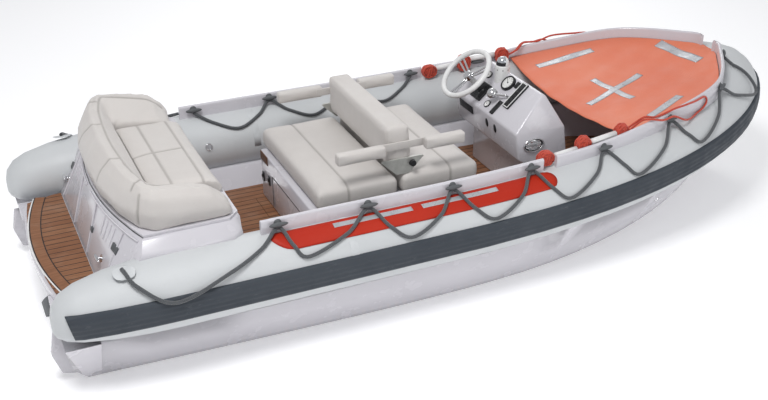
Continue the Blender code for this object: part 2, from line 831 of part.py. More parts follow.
wheel_y = 0.268
wheel_radius = 0.177
rim_radius = 0.016
wheel_out = 0.115
wheel_up = 0.116
wheel_centre = on_dash(wheel_y, wheel_up, wheel_out)

bm = bmesh.new()
rim_steps, rim_sides = 32, 10
circle = bmesh.ops.create_circle(
    bm, segments=rim_sides, radius=rim_radius,
    matrix=Matrix.Translation((wheel_radius, 0, 0)) @ Matrix.Rotation(math.radians(90), 4, "X"))
bmesh.ops.spin(
    bm, geom=bm.verts[:] + bm.edges[:], cent=(0, 0, 0), axis=(0, 0, 1),
    angle=math.radians(360), steps=rim_steps, use_merge=True)
bmesh.ops.remove_doubles(bm, verts=bm.verts, dist=0.00001)
steering_wheel = from_bmesh("steering_wheel", bm, white_plastic)
hub_drop = 0.028
spoke_radius, spoke_apart = 0.0065, 0.013
spoke_start = 40              # degrees round the hub, from starboard
for spoke, half in [(k, half) for k in range(3) for half in (-1, 1)]:
    turn = math.radians(spoke_start + 120 * spoke)
    reach = Vector((math.cos(turn), math.sin(turn), 0))
    beside = Vector((-reach.y, reach.x, 0)) * half * spoke_apart
    length = wheel_radius - 0.004
    middle = reach * length / 2 + beside + Vector((0, 0, -hub_drop / 2))
    rising = reach * wheel_radius + Vector((0, 0, hub_drop * 0.9))
    bar = drum("spoke", spoke_radius, length, middle, rising, chrome, sides_round=8)
    combine(steering_wheel, bar, "UNION")
hub = drum("hub", 0.032, 0.036, (0, 0, -hub_drop + 0.006), (0, 0, 1), chrome, sides_round=20)
combine(steering_wheel, hub, "UNION")
steering_wheel.location = wheel_centre
steering_wheel.rotation_euler = dash_turn

column_length = wheel_out - hub_drop - 0.012 - 0.001
drum("steering_column", 0.022, column_length, on_dash(wheel_y, wheel_up, column_length / 2 + gap),
     dash_out, white_plastic, sides_round=16)

panel = box("dash_panel", (-0.061, -0.063, gap), (0.061, 0.063, 0.012), black_plastic, 0.003)
panel.location = on_dash(0.169, 0.097, 0.006 + gap)
panel.rotation_euler = dash_turn
drum("gauge", 0.055, 0.018, on_dash(0.003, 0.236, 0.009 + gap), dash_out, black_plastic)
tray = box("switch_tray", (-0.031, -0.099, 0), (0.031, 0.099, 0.014), black_plastic, 0.003)
tray.location = on_dash(-0.138, 0.197, 0.007 + gap)
tray.rotation_euler = dash_turn

lever_foot = on_dash(-0.088, 0.160, gap)
lever_bend = on_dash(-0.088, 0.160, 0.036)
lever_knob = on_dash(-0.014, 0.115, 0.060)
knob_radius = 0.036
throttle = drum(
    "throttle_lever", 0.014, 0.036, (lever_foot + lever_bend) / 2, dash_out, chrome, sides_round=16)
lever = lever_knob - lever_bend
arm = drum("arm", 0.009, lever.length, (lever_knob + lever_bend) / 2 - dash_out * 0.008, lever, chrome,
           sides_round=12)
combine(throttle, arm, "UNION")
bm = bmesh.new()
bmesh.ops.create_uvsphere(bm, u_segments=16, v_segments=10, radius=knob_radius)
knob = from_bmesh("knob", bm, chrome)
knob.location = lever_knob
combine(throttle, knob, "UNION")
pod = drum(
    "compass_pod", 0.048, 0.230, (0.540, 0.121, 0.915), (0, 0, 1), white_plastic, sides_round=20)
pod_cutter = side_plate("pod_cutter", console_profile, -console_top_half, console_top_half, gelcoat, cutters)
combine(pod, to_mesh(pod_cutter), "DIFFERENCE")
pod.location += Vector((0, 0, 2 * gap))
vent_breadth, vent_height, vent_depth = 0.151, 0.094, 0.012
vent = drum(
    "console_vent", vent_height / 2, vent_depth, (0.481, -console_half - vent_depth / 2 - gap, 0.637),
    (0, 1, 0), chrome)
vent.data.transform(Matrix.Diagonal((vent_breadth / vent_height, 1.0, 1.0, 1.0)))

# Bow cover: fabric stretched between the fore rails over the stores at the bow

cover_aft_x = 0.955           # its corners; between them its aft edge is bowed
cover_bow = 0.075
cover_drop = 0.014            # its edges lie below the rail's mid line
cover_columns = 8
cover_sag = 0.050
cover_thickness = 0.006
bm = bmesh.new()
surface = []
for place, outward, radius in outward_frames([tuple(p) for p in rail_points(1)], 1):
    if place.x < cover_aft_x:
        continue
    edge = place - outward * (rail_thickness / 2 + cover_thickness / 2 + gap)
    bow = 0.0 if surface else cover_bow
    row = []
    for column in range(cover_columns + 1):
        across = 2 * column / cover_columns - 1
        sag = cover_drop + cover_sag * (1 - across ** 2) * min(1.0, edge.y / 0.5)
        x = edge.x - bow * (1 - across ** 2)
        row.append(bm.verts.new((x, across * max(edge.y, 0.02), edge.z - sag)))
    surface.append(row)
for low, high in zip(surface, surface[1:]):
    for k in range(cover_columns):
        bm.faces.new((low[k], low[k + 1], high[k + 1], high[k]))
bow_cover = from_bmesh("bow_cover", bm, orange_fabric)
thickness = bow_cover.modifiers.new("thickness", "SOLIDIFY")
thickness.thickness = cover_thickness
thickness.offset = 0.0

# Lifelines: rope hung from cleat to cleat, outboard on the tube and inboard along the cockpit


def tube_side_point(x, side, lean, clearance):
    """A point beside the tube at x, leaning from its top by an angle, outboard if positive."""
    step = 0.001
    here = Vector((x, collar_point(x), 0))
    ahead = Vector((x + step, collar_point(x + step), 0))
    along = (ahead - here).normalized()
    outward = Vector((-along.y, along.x, 0))
    radius = collar_radius + clearance
    angle = math.radians(lean)
    place = here + outward * radius * math.sin(angle)
    place.z = collar_height(x) + radius * math.cos(angle)
    place.y *= side
    return place


def held_at(place, outward, face):
    """Where the rope passes a cleat: against the rail's face, under the cleat's bar."""
    beside = rail_thickness / 2 + rope_radius + gap
    return place + outward * face * beside - Vector((0, 0, rope_radius + 0.001))


outer_lows = [                # between two cleats: x, lean from the tube's top in degrees
    (-1.220, 56),
    (-0.630, 62),
    (-0.120, 64),
    (0.370, 64),
    (0.860, 64),
    (1.370, 60),
    (1.960, 58),
]
stern_start = (-2.150, 12)
stern_low = (-1.930, 76)
inner_lows = [(-1.070, -50), (-0.560, -50), (-0.050, -48)]
rope_clear = rope_radius + 0.003
inner_rope_clear = rope_radius + 0.002
strake_clear = strake_depth + rope_radius + 0.002


def lifted(place, side, clear):
    """The same point, moved straight out of the tube or its strake where it would sink into them."""
    here = Vector((place.x, side * collar_point(place.x), collar_height(place.x)))
    ahead_x = place.x + 0.001
    ahead = Vector((ahead_x, side * collar_point(ahead_x), here.z))
    along = (ahead - here).normalized()
    away = place - here
    away -= along * away.dot(along)
    beside_strake = abs(away.z) < strake_height / 2 + rope_radius and away.y * side > 0
    needed = collar_radius + (strake_clear if beside_strake else clear)
    if away.length < needed:
        place = place + away.normalized() * (needed - away.length)
    return place


def lifeline(name, side, face, held, lows, lead_in):
    """A rope through each cleat, drooping over the tube between them."""
    frames = outward_frames([tuple(p) for p in rail_points(side)], side)
    route = list(lead_in)
    clear = rope_clear if face > 0 else inner_rope_clear
    for k, (x, y, z) in enumerate(held):
        place = Vector((x, side * y, z))
        outward = min(frames, key=lambda f: (f[0] - place).length)[1]
        route.append(held_at(place, outward, face))
        if k < len(lows):
            low_x, lean = lows[k]
            next_x = held[k + 1][0]
            route.append(tube_side_point(x + 0.40 * (low_x - x), side, 0.62 * lean, clear))
            route.append(tube_side_point(low_x, side, lean, clear))
            route.append(tube_side_point(next_x - 0.40 * (next_x - low_x), side, 0.62 * lean, clear))
    resting = [lifted(place, side, clear) for place in smooth_route(route, 0.066)]
    pipe(name, resting, rope_radius, rope_grey)


for side_name, side in sides.items():
    start_x, start_lean = stern_start
    low_x, low_lean = stern_low
    lead_in = [
        tube_side_point(start_x, side, start_lean, rope_clear),
        tube_side_point(start_x + 0.05, side, 45, rope_clear),
        tube_side_point(low_x, side, low_lean, strake_clear),
        tube_side_point(-1.650, side, 55, strake_clear),
        tube_side_point(-1.450, side, 30, rope_clear),
    ]
    lifeline("lifeline_outer_" + side_name, side, 1, cleats, outer_lows, lead_in)
    lifeline("lifeline_inner_" + side_name, side, -1, cleats[:4], inner_lows, [])

# Bow lines: a rope on each side in three knots behind the rail, then a long loop over it

line_radius = 0.0065
line_turns = 4                # in each knot, side by side
knot_depth = 2 * line_turns * line_radius + 0.002
knots = {                     # x, length along the rail, height
    "aft": (0.337, 0.115, 0.096),
    "mid": (0.600, 0.104, 0.125),
    "fore": (0.890, 0.104, 0.120),
}
rail_clear = 0.001
sleeve_radius = 0.018
sleeves = {                   # x from, x to, height at each end, of the white tubes between the knots
    "aft": (0.3957, 0.5460, 0.741, 0.752),
    "fore": (0.6535, 0.8340, 0.776, 0.788),
}
line_loop = [                 # x, half breadth, height, from the fore knot over the rail and back to it
    (0.944, 0.716, 0.776),
    (0.990, 0.708, 0.800),
    (1.035, 0.722, 0.833),
    (1.085, 0.745, 0.837),
    (1.160, 0.757, 0.824),
    (1.240, 0.752, 0.832),
    (1.330, 0.742, 0.790),
    (1.410, 0.705, 0.768),
    (1.480, 0.672, 0.778),
    (1.535, 0.656, 0.796),
    (1.566, 0.648, 0.826),
    (1.562, 0.646, 0.857),
    (1.530, 0.656, 0.873),
    (1.450, 0.683, 0.870),
    (1.350, 0.707, 0.869),
    (1.270, 0.716, 0.864),
    (1.180, 0.716, 0.8415),
    (1.110, 0.727, 0.840),
    (1.050, 0.711, 0.845),
    (1.000, 0.695, 0.813),
    (0.945, 0.698, 0.787),
]


def beside_rail(x, inset):
    """A point inboard of the rail's mid line at x, and the line's direction there, on the port side."""
    line = rail_points(1)
    aft, fore = next((a, b) for a, b in zip(line, line[1:]) if a.x <= x <= b.x)
    along = Vector((fore.x - aft.x, fore.y - aft.y, 0)).normalized()
    place = aft.lerp(fore, (x - aft.x) / (fore.x - aft.x))
    return place + Vector((along.y, -along.x, 0)) * inset, along


def stadium(length, height, steps=8):
    """An outline with round ends, in (along, up) steps from its centre."""
    radius = min(length, height) / 2
    reach_x, reach_z = length / 2 - radius, height / 2 - radius
    outline = []
    for quarter, (side_x, side_z) in enumerate(((1, 1), (-1, 1), (-1, -1), (1, -1))):
        for step in range(steps // 2 + 1):
            turn = math.radians(90 * (quarter + 2 * step / steps))
            outline.append((side_x * reach_x + radius * math.cos(turn), side_z * reach_z + radius * math.sin(turn)))
    return outline


def knot_place(x, height):
    """The knot's centre, resting on the tube behind the rail."""
    place, along = beside_rail(x, rail_thickness / 2 + knot_depth / 2 + rail_clear)
    outer_side = Vector((place.x, place.y + knot_depth / 2, 0))
    offset = max(abs(outer_side.y - collar_point(x)), abs(place.y - knot_depth / 2 - collar_point(x)))
    lowest = collar_height(x + 0.03) + math.sqrt(collar_radius ** 2 - min(offset, 0.012) ** 2)
    place.z = lowest + gap + height / 2
    return place, along


for side_name, side in sides.items():
    for knot_name, (x, length, height) in knots.items():
        place, along = knot_place(x, height)
        centre = Vector((place.x, side * place.y, place.z))
        heading = math.atan2(side * along.y, along.x)
        level = Vector((math.cos(heading), math.sin(heading), 0))
        outline = [centre + level * out + Vector((0, 0, up)) for out, up in stadium(length, height)]
        across = Vector((-level.y, level.x, 0)) * knot_depth / 2
        rings = [[point + across * face for point in outline] for face in (-1, 1)]
        loft("line_knot_" + knot_name + "_" + side_name, rings, rope_orange, split=False)
    for sleeve_name, (aft_x, fore_x, aft_z, fore_z) in sleeves.items():
        inset = rail_thickness / 2 + sleeve_radius + 2 * gap
        route = []
        for x, z in ((aft_x, aft_z), ((aft_x + fore_x) / 2, (aft_z + fore_z) / 2), (fore_x, fore_z)):
            place = beside_rail(x, inset)[0]
            route.append((place.x, side * place.y, z))
        pipe("line_sleeve_" + sleeve_name + "_" + side_name, route, sleeve_radius, white_plastic)
    resting = smooth_route(on_side(line_loop, side), 0.033)
    pipe("line_loop_" + side_name, resting, line_radius, rope_orange)

# Water jet under the platform: housing, steering nozzle and reversing bucket

jet_z = -0.060
jet_face_x = transom_x - gap
housing_end_x = -2.318
housing = drum("jet_housing", 0.120, jet_face_x - housing_end_x, ((jet_face_x + housing_end_x) / 2, 0, jet_z),
               (-1, 0, 0), cast_metal, end_radius=0.085)
nozzle_joint_x = -2.373
nozzle_end_x = -2.438
nozzle_profile = [            # radius, aft of the steering axis: the fore end is drawn in to swing clear
    (0.000, -0.032),
    (0.048, -0.032),
    (0.066, -0.012),
    (0.070, 0.005),
    (0.062, nozzle_joint_x - nozzle_end_x),
    (0.000, nozzle_joint_x - nozzle_end_x),
]
nozzle = turned("jet_nozzle", nozzle_profile, (nozzle_joint_x, 0, jet_z), (-1, 0, 0), cast_metal)
pin_reach = 0.0795
bucket_pivot_x = -2.398
cheek_inner = 0.078
pins = [                      # radius, length, x, axis: the steering pins, and the bucket's
    (0.016, 2 * pin_reach, nozzle_joint_x, (0, 0, 1)),
    (0.012, 2 * (cheek_inner - gap), bucket_pivot_x, (0, 1, 0)),
]
for radius, length, x, axis in pins:
    combine(nozzle, drum("pin", radius, length, (x, 0, jet_z), axis, cast_metal, sides_round=12), "UNION")
bore = drum("nozzle_cutter", 0.050, 0.160, (nozzle_end_x, 0, jet_z), (1, 0, 0), cast_metal, cutters)
combine(nozzle, bore, "DIFFERENCE")
ear_low = pin_reach + gap
ear_height = 0.009
for turn in (1, -1):
    low_z, high_z = sorted((jet_z + turn * ear_low, jet_z + turn * (ear_low + ear_height)))
    ear = box("ear", (nozzle_joint_x - 0.020, -0.020, low_z), (-2.305, 0.020, high_z), cast_metal)
    combine(housing, ear, "UNION")

bucket_radius = 0.105
bucket_wall = 0.006
bucket_low, bucket_high = 25, 105          # degrees above the aft direction, when stowed


def bucket_arc(radius, low, high, steps=8):
    """Points on an arc about the bucket's pivot, from the aft direction upwards."""
    arc = []
    for step in range(steps + 1):
        angle = math.radians(low + (high - low) * step / steps)
        arc.append((bucket_pivot_x - radius * math.cos(angle), jet_z + radius * math.sin(angle)))
    return arc


cheek_outer = cheek_inner + bucket_wall
back = bucket_arc(bucket_radius, bucket_low, bucket_high)
back += bucket_arc(bucket_radius - bucket_wall, bucket_low, bucket_high)[::-1]
bucket = to_mesh(side_plate("reverse_bucket", back, -cheek_outer, cheek_outer, cast_metal))
cheek_profile = bucket_arc(bucket_radius - 0.001, bucket_low, bucket_high)
cheek_profile += [(bucket_pivot_x + 0.016, jet_z - 0.005), (bucket_pivot_x - 0.005, jet_z - 0.016)]
for side in sides.values():
    low_y, high_y = sorted((side * cheek_inner, side * (cheek_outer - 0.0005)))
    combine(bucket, to_mesh(side_plate("cheek", cheek_profile, low_y, high_y, cast_metal)), "UNION")
bucket_pivot = turning_on("bucket_pivot", (bucket_pivot_x, 0, jet_z), [bucket])
turning_on("nozzle_pivot", (nozzle_joint_x, 0, jet_z), [nozzle, bucket_pivot])

# Stern quarters: the hull goes on under each tube's end, beside the jet, with a fin at its corner

quarter_inner_y = 0.450
quarter_top_z = hull_top_z - gap
quarter_ring = [              # half breadth, height, round its section, which passes under the tube
    (quarter_inner_y, -0.100),
    (0.705, -0.004),
    (0.740, 0.000),
    (0.752, 0.030),
    (0.910, 0.300),
    (0.870, 0.283),
    (0.820, 0.278),
    (0.770, 0.283),
    (0.715, 0.320),
    (0.665, quarter_top_z),
    (quarter_inner_y, quarter_top_z),
]
quarter_end_x = -2.486
quarter_trim = [              # x, z: what is cut from its aft end, up the slope from the chine
    (-2.350, -0.120),
    (-2.364, -0.004),
    (-2.395, 0.030),
    (-2.438, 0.093),
    (-2.480, 0.305),
    (-2.482, 0.400),
    (-2.520, 0.400),
    (-2.520, -0.120),
]
fin_profile = [(-2.340, 0.300), (-2.506, 0.300), (-2.531, 0.176), (-2.492, 0.057), (-2.340, 0.020)]
fin_inner_y, fin_outer_y = 0.690, 0.730
for side_name, side in sides.items():
    rings = [[(x, side * y, z) for y, z in quarter_ring] for x in (transom_x - gap, quarter_end_x)]
    quarter = loft("stern_fin_" + side_name, rings, gelcoat, split=False)
    low_y, high_y = sorted((side * 0.400, side * 1.000))
    trim = to_mesh(side_plate("quarter_cutter", quarter_trim, low_y, high_y, gelcoat, cutters))
    combine(quarter, trim, "DIFFERENCE")
    low_y, high_y = sorted((side * fin_inner_y, side * fin_outer_y))
    combine(quarter, to_mesh(side_plate("fin", fin_profile, low_y, high_y, gelcoat)), "UNION")
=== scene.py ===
# Looks of the jet tender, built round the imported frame. Metres; +X to the bow, +Y to port, +Z up.
# The floor is the waterline, at height 0.

import json
import math

import bmesh
import bpy
from mathutils import Matrix, Vector
from mathutils.bvhtree import BVHTree
from mathutils.kdtree import KDTree

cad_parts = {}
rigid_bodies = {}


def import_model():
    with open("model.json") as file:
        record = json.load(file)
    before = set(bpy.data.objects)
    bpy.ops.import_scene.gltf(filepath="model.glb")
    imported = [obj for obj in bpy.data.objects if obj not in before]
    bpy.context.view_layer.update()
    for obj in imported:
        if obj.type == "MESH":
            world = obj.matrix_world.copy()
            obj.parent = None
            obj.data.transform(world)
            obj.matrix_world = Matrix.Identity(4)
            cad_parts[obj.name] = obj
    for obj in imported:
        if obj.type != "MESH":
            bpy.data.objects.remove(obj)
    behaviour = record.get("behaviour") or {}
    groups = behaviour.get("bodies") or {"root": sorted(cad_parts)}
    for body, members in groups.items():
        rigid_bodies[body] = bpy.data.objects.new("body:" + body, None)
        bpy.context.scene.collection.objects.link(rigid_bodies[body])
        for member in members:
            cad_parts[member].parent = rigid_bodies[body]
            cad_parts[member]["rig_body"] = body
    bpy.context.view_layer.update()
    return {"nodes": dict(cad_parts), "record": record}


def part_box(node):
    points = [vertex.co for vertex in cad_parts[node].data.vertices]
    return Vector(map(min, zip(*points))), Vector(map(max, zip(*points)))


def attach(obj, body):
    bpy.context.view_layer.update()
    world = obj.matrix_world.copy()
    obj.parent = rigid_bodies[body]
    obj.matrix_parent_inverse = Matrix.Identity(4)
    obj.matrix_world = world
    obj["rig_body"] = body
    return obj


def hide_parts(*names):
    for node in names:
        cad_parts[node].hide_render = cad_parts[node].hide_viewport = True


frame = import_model()

# Camera: at the photo's viewing angle, off the starboard quarter

view_azimuth = 65.68          # degrees from the bow towards port
view_elevation = 28.12        # degrees down
camera_place = (-2.833, -5.499, 3.466)
focal_pixels = 1080
photo_width = 768
sensor_width = 36.0

camera_data = bpy.data.cameras.new("camera")
camera_data.sensor_width = sensor_width
camera_data.lens = focal_pixels / photo_width * sensor_width
camera = bpy.data.objects.new("camera", camera_data)
camera.location = camera_place
camera.rotation_euler = (math.radians(90 - view_elevation), 0, math.radians(view_azimuth - 90))
bpy.context.scene.collection.objects.link(camera)
bpy.context.scene.camera = camera

# Sizes that the fittings share with the hull and its collar

collar_radius = 0.200
collar_breadth = 0.820
collar_z = 0.469
collar_tip_x = 2.232
bow_start_x = -0.963
bow_fullness = 3.82
side_fullness = 1.565
rise_start_x = -0.50
bow_rise = 0.208
strake_depth = 0.014
strake_height = 0.142
rail_height = 0.085
rail_thickness = 0.024
rope_radius = 0.008           # the solids' rope; what shows is a little stouter, pressed on the tube
rope_shown = 0.0102

cleats = [                    # x, half breadth, height: eight a side, 0.51 m apart round the rail
    (-1.326, 0.812, 0.710),
    (-0.816, 0.812, 0.710),
    (-0.306, 0.812, 0.710),
    (0.204, 0.801, 0.718),
    (0.714, 0.776, 0.735),
    (1.239, 0.701, 0.795),
    (1.734, 0.545, 0.862),
    (2.055, 0.160, 0.906),
]
sides = {"starboard": -1, "port": 1}
up_axis = Vector((0, 0, 1))

# Finishes: each is wired by a few short calls


class Finish:
    """One material: a base colour and roughness, then variation, wear and relief laid over them."""

    def __init__(self, name, colour, roughness, metallic=0.0, **sockets):
        self.material = bpy.data.materials.new(name)
        self.material.use_nodes = True
        self.tree = self.material.node_tree
        self.shader = self.tree.nodes["Principled BSDF"]
        self.shader.inputs["Base Color"].default_value = (*colour, 1)
        self.shader.inputs["Roughness"].default_value = roughness
        self.shader.inputs["Metallic"].default_value = metallic
        for socket, value in sockets.items():
            self.shader.inputs[socket.replace("_", " ")].default_value = value
        self.base = colour
        self.roughness = roughness
        self.colour_now = None
        self.normal_now = None

    def node(self, kind, inputs=None, **settings):
        made = self.tree.nodes.new("ShaderNode" + kind)
        for key, value in settings.items():
            setattr(made, key, value)
        for key, value in (inputs or {}).items():
            if isinstance(value, bpy.types.NodeSocket):
                self.tree.links.new(value, made.inputs[key])
            else:
                made.inputs[key].default_value = value
        return made

    def spot(self, scale=(1, 1, 1), turn=(0, 0, 0), source="Object"):
        """Coordinates in metres, stretched and turned."""
        coordinates = self.node("TexCoord")
        turned = tuple(math.radians(angle) for angle in turn)
        return self.node("Mapping", {
            "Vector": coordinates.outputs[source], "Scale": scale, "Rotation": turned}).outputs[0]

    def noise(self, scale, detail=4.0, roughness=0.5, spot=None):
        inputs = {"Scale": scale, "Detail": detail, "Roughness": roughness}
        inputs["Vector"] = spot or self.spot()
        return self.node("TexNoise", inputs).outputs["Fac"]

    def waves(self, pitch, spot, direction="X"):
        """Smooth bands, one for each pitch in metres."""
        inputs = {"Scale": math.pi / (10 * pitch), "Distortion": 0.0, "Vector": spot}
        return self.node("TexWave", inputs, bands_direction=direction).outputs["Fac"]

    def cells(self, scale):
        """How far each place is from the edge of its cell."""
        inputs = {"Scale": scale, "Vector": self.spot()}
        return self.node("TexVoronoi", inputs, feature="DISTANCE_TO_EDGE").outputs["Distance"]

    def attribute(self, name):
        return self.node("Attribute", attribute_name=name).outputs["Fac"]

    def calc(self, operation, a, b=0.0, c=0.0):
        return self.node("Math", {0: a, 1: b, 2: c}, operation=operation).outputs[0]

    def spread(self, value, low, high, start=0.3, end=0.7):
        """Value between start and end, laid out from low to high."""
        return self.node("MapRange", {
            "Value": value, "From Min": start, "From Max": end, "To Min": low, "To Max": high}).outputs[0]

    def tint(self, amount, colour):
        """Lay a second colour over what is there, by an amount from 0 to 1."""
        under = self.colour_now or (*self.base, 1)
        mixed = self.node("Mix", {0: amount, 6: under, 7: (*colour, 1)}, data_type="RGBA")
        self.colour_now = mixed.outputs[2]
        self.tree.links.new(self.colour_now, self.shader.inputs["Base Color"])
        return self

    def mottle(self, noise, amount, colour, start=0.3, end=0.7):
        """Lay a second colour over what is there where a noise rises from start to end."""
        return self.tint(self.spread(self.noise(*noise), 0.0, amount, start, end), colour)

    def rough(self, value, low, high):
        self.tree.links.new(self.spread(value, low, high), self.shader.inputs["Roughness"])
        return self

    def roughen(self, noise, low, high):
        return self.rough(self.noise(*noise), low, high)

    def relief(self, height, depth):
        """Raise the surface by depth in metres where height is 1."""
        inputs = {"Height": height, "Distance": depth, "Strength": 1.0}
        if self.normal_now:
            inputs["Normal"] = self.normal_now
        self.normal_now = self.node("Bump", inputs).outputs[0]
        self.tree.links.new(self.normal_now, self.shader.inputs["Normal"])
        return self

    def bumps(self, noise, depth):
        return self.relief(self.noise(*noise), depth)


def make_gelcoat():
    finish = Finish("gelcoat", (0.60, 0.585, 0.620), 0.22, Coat_Weight=0.4, Coat_Roughness=0.08)
    cloud = finish.noise(2.5, 3.0)
    finish.tint(finish.spread(cloud, 0.0, 0.35), (0.55, 0.535, 0.575))
    scuffs = finish.noise(18.0, 8.0, 0.7)
    finish.tint(finish.spread(scuffs, 0.0, 0.18, 0.62, 0.78), (0.46, 0.45, 0.47))
    finish.roughen((9.0, 5.0), 0.16, 0.32)
    finish.bumps((140.0, 2.0), 0.00015)
    return finish.relief(cloud, 0.0003).material


def make_collar_fabric():
    """Coated fabric: a fine weave under the coat, soft creases and rubbed places."""
    finish = Finish("collar_fabric", (0.565, 0.580, 0.590), 0.48, Sheen_Weight=0.08)
    cloud = finish.noise(1.8, 4.0)
    finish.tint(finish.spread(cloud, 0.0, 0.45), (0.49, 0.51, 0.52))
    rubbed = finish.noise(26.0, 9.0, 0.75)
    finish.tint(finish.spread(rubbed, 0.0, 0.35, 0.60, 0.80), (0.42, 0.43, 0.44))
    finish.roughen((7.0, 6.0), 0.40, 0.60)
    cloth = finish.spot(source="UV")
    threads = finish.calc("MULTIPLY", finish.waves(0.0022, cloth, "X"), finish.waves(0.0022, cloth, "Y"))
    finish.relief(threads, 0.00025)
    creases = finish.noise(5.0, 3.0, 0.4, finish.spot((1.0, 2.2, 1.0), source="UV"))
    return finish.relief(creases, 0.0025).material


def make_strake_rubber():
    finish = Finish("strake_rubber", (0.034, 0.042, 0.054), 0.58, Specular_IOR_Level=0.35)
    finish.mottle((3.0, 5.0), 0.6, (0.055, 0.064, 0.076))
    scuffs = finish.noise(30.0, 9.0, 0.8, finish.spot((0.35, 1, 1)))
    finish.tint(finish.spread(scuffs, 0.0, 0.55, 0.58, 0.80), (0.22, 0.23, 0.24))
    finish.roughen((12.0, 6.0), 0.42, 0.70)
    return finish.bumps((220.0, 4.0), 0.0004).material


def make_vinyl():
    """Seat covering: leather grain, softly mottled, with painted shade along the seams."""
    finish = Finish("upholstery", (0.600, 0.570, 0.545), 0.50, Sheen_Weight=0.15)
    finish.mottle((4.0, 5.0), 0.40, (0.54, 0.505, 0.48))
    finish.mottle((60.0, 8.0, 0.7), 0.22, (0.46, 0.43, 0.41), 0.55, 0.8)
    # painted shade: the seam mask darkens the cover along its seams, and puckers them below
    seam = finish.attribute("seam")
    finish.tint(finish.calc("MULTIPLY", seam, 0.75), (0.27, 0.25, 0.235))
    finish.roughen((14.0, 6.0), 0.40, 0.60)
    grain = finish.cells(420.0)
    finish.relief(finish.spread(grain, 0.0, 1.0, 0.0, 0.25), 0.00035)
    puckers = finish.noise(22.0, 3.0, 0.5)
    finish.relief(finish.calc("MULTIPLY", puckers, seam), 0.004)
    return finish.bumps((7.0, 3.0, 0.45), 0.0035).material


caulk_width = 0.006
plank_pitch = 0.052
margin_pitch = 4.0            # wider than the margin, which is one plank


def make_teak(name, source, pitch):
    """Planks with black caulk between them; each plank has its own tone and grain."""
    finish = Finish(name, (0.235, 0.100, 0.048), 0.58, Specular_IOR_Level=0.35)
    place = finish.node("SeparateXYZ", {0: finish.spot(source=source)}).outputs[1]
    planks = finish.calc("DIVIDE", place, pitch)
    number = finish.calc("FLOOR", planks)
    tone = finish.node("TexWhiteNoise", {"W": number}, noise_dimensions="1D").outputs[0]
    finish.tint(finish.calc("MULTIPLY", tone, 0.65), (0.31, 0.150, 0.075))
    grain = finish.noise(3.0, 9.0, 0.65, finish.spot((2.2, 45, 45), source=source))
    finish.tint(finish.spread(grain, 0.0, 0.75, 0.42, 0.72), (0.13, 0.055, 0.028))
    weathered = finish.noise(5.0, 5.0)
    finish.tint(finish.spread(weathered, 0.0, 0.30, 0.5, 0.8), (0.42, 0.30, 0.22))
    across = finish.calc("SUBTRACT", planks, number)
    middle = finish.calc("ABSOLUTE", finish.calc("SUBTRACT", across, 0.5))
    edge = 0.5 - caulk_width / pitch / 2
    caulk = finish.spread(middle, 0.0, 1.0, edge - 0.015, edge + 0.015)
    finish.tint(caulk, (0.010, 0.009, 0.009))
    finish.rough(grain, 0.45, 0.70)
    finish.relief(finish.calc("SUBTRACT", 1.0, caulk), 0.0008)
    return finish.relief(grain, 0.0004).material


def make_rope(name, colour, dark, pale):
    """Braided cord: strands cross in a diamond pattern round it. The UV map is in metres."""
    finish = Finish(name, colour, 0.75, Sheen_Weight=0.25)
    left = finish.waves(0.0075, finish.spot(turn=(0, 0, 38), source="UV"))
    right = finish.waves(0.0075, finish.spot(turn=(0, 0, -38), source="UV"))
    braid = finish.calc("MAXIMUM", left, right)
    # painted shade: the grooves between the strands darkened towards the dark colour
    finish.tint(finish.spread(braid, 0.85, 0.0, 0.25, 0.85), dark)
    fuzz = finish.noise(260.0, 6.0, 0.7)
    finish.tint(finish.spread(fuzz, 0.0, 0.6, 0.5, 0.8), pale)
    finish.rough(fuzz, 0.65, 0.90)
    finish.relief(braid, 0.0022)
    return finish.relief(fuzz, 0.0004).material


def make_chrome():
    finish = Finish("chrome", (0.78, 0.78, 0.79), 0.10, 1.0)
    finish.mottle((30.0, 6.0), 0.5, (0.62, 0.62, 0.64))
    finish.rough(finish.noise(90.0, 8.0, 0.7, finish.spot((1, 8, 1))), 0.06, 0.20)
    return finish.bumps((300.0, 4.0), 0.00006).material


def make_plastic(name, colour, roughness, stipple):
    finish = Finish(name, colour, roughness, Specular_IOR_Level=0.35)
    pale = tuple(min(1.0, part * 1.5 + 0.012) for part in colour)
    finish.mottle((16.0, 6.0, 0.6), 0.4, pale)
    finish.roughen((40.0, 6.0), roughness * 0.8, roughness * 1.3)
    return finish.bumps((500.0, 3.0), stipple).material


def make_cover_fabric(name, colour, faded, wear, sheen):
    """Coated cover cloth: weave, drawn folds, and a coat faded and worn in patches."""
    finish = Finish(name, colour, 0.56, Sheen_Weight=sheen, Specular_IOR_Level=0.3)
    finish.mottle((1.6, 4.0), 0.7, faded)
    finish.mottle((34.0, 9.0, 0.75), 0.30, wear, 0.55, 0.8)
    finish.roughen((8.0, 6.0), 0.42, 0.66)
    cloth = finish.spot()
    threads = finish.calc("MULTIPLY", finish.waves(0.0030, cloth, "X"), finish.waves(0.0030, cloth, "Y"))
    finish.relief(threads, 0.0003)
    folds = finish.noise(4.5, 3.0, 0.5, finish.spot((0.7, 1.6, 1), (0, 0, 20)))
    return finish.relief(folds, 0.006).material


def make_tape():
    """Reflective tape: pale grey with the fine honeycomb of its beads, and hair creases."""
    finish = Finish("reflective_tape", (0.44, 0.46, 0.48), 0.32, 0.35)
    comb = finish.cells(240.0)
    finish.tint(finish.spread(comb, 0.5, 0.0, 0.0, 0.12), (0.30, 0.32, 0.34))
    finish.mottle((9.0, 5.0), 0.5, (0.62, 0.63, 0.65))
    finish.roughen((25.0, 5.0), 0.22, 0.45)
    return finish.bumps((16.0, 5.0, 0.6), 0.0015).material


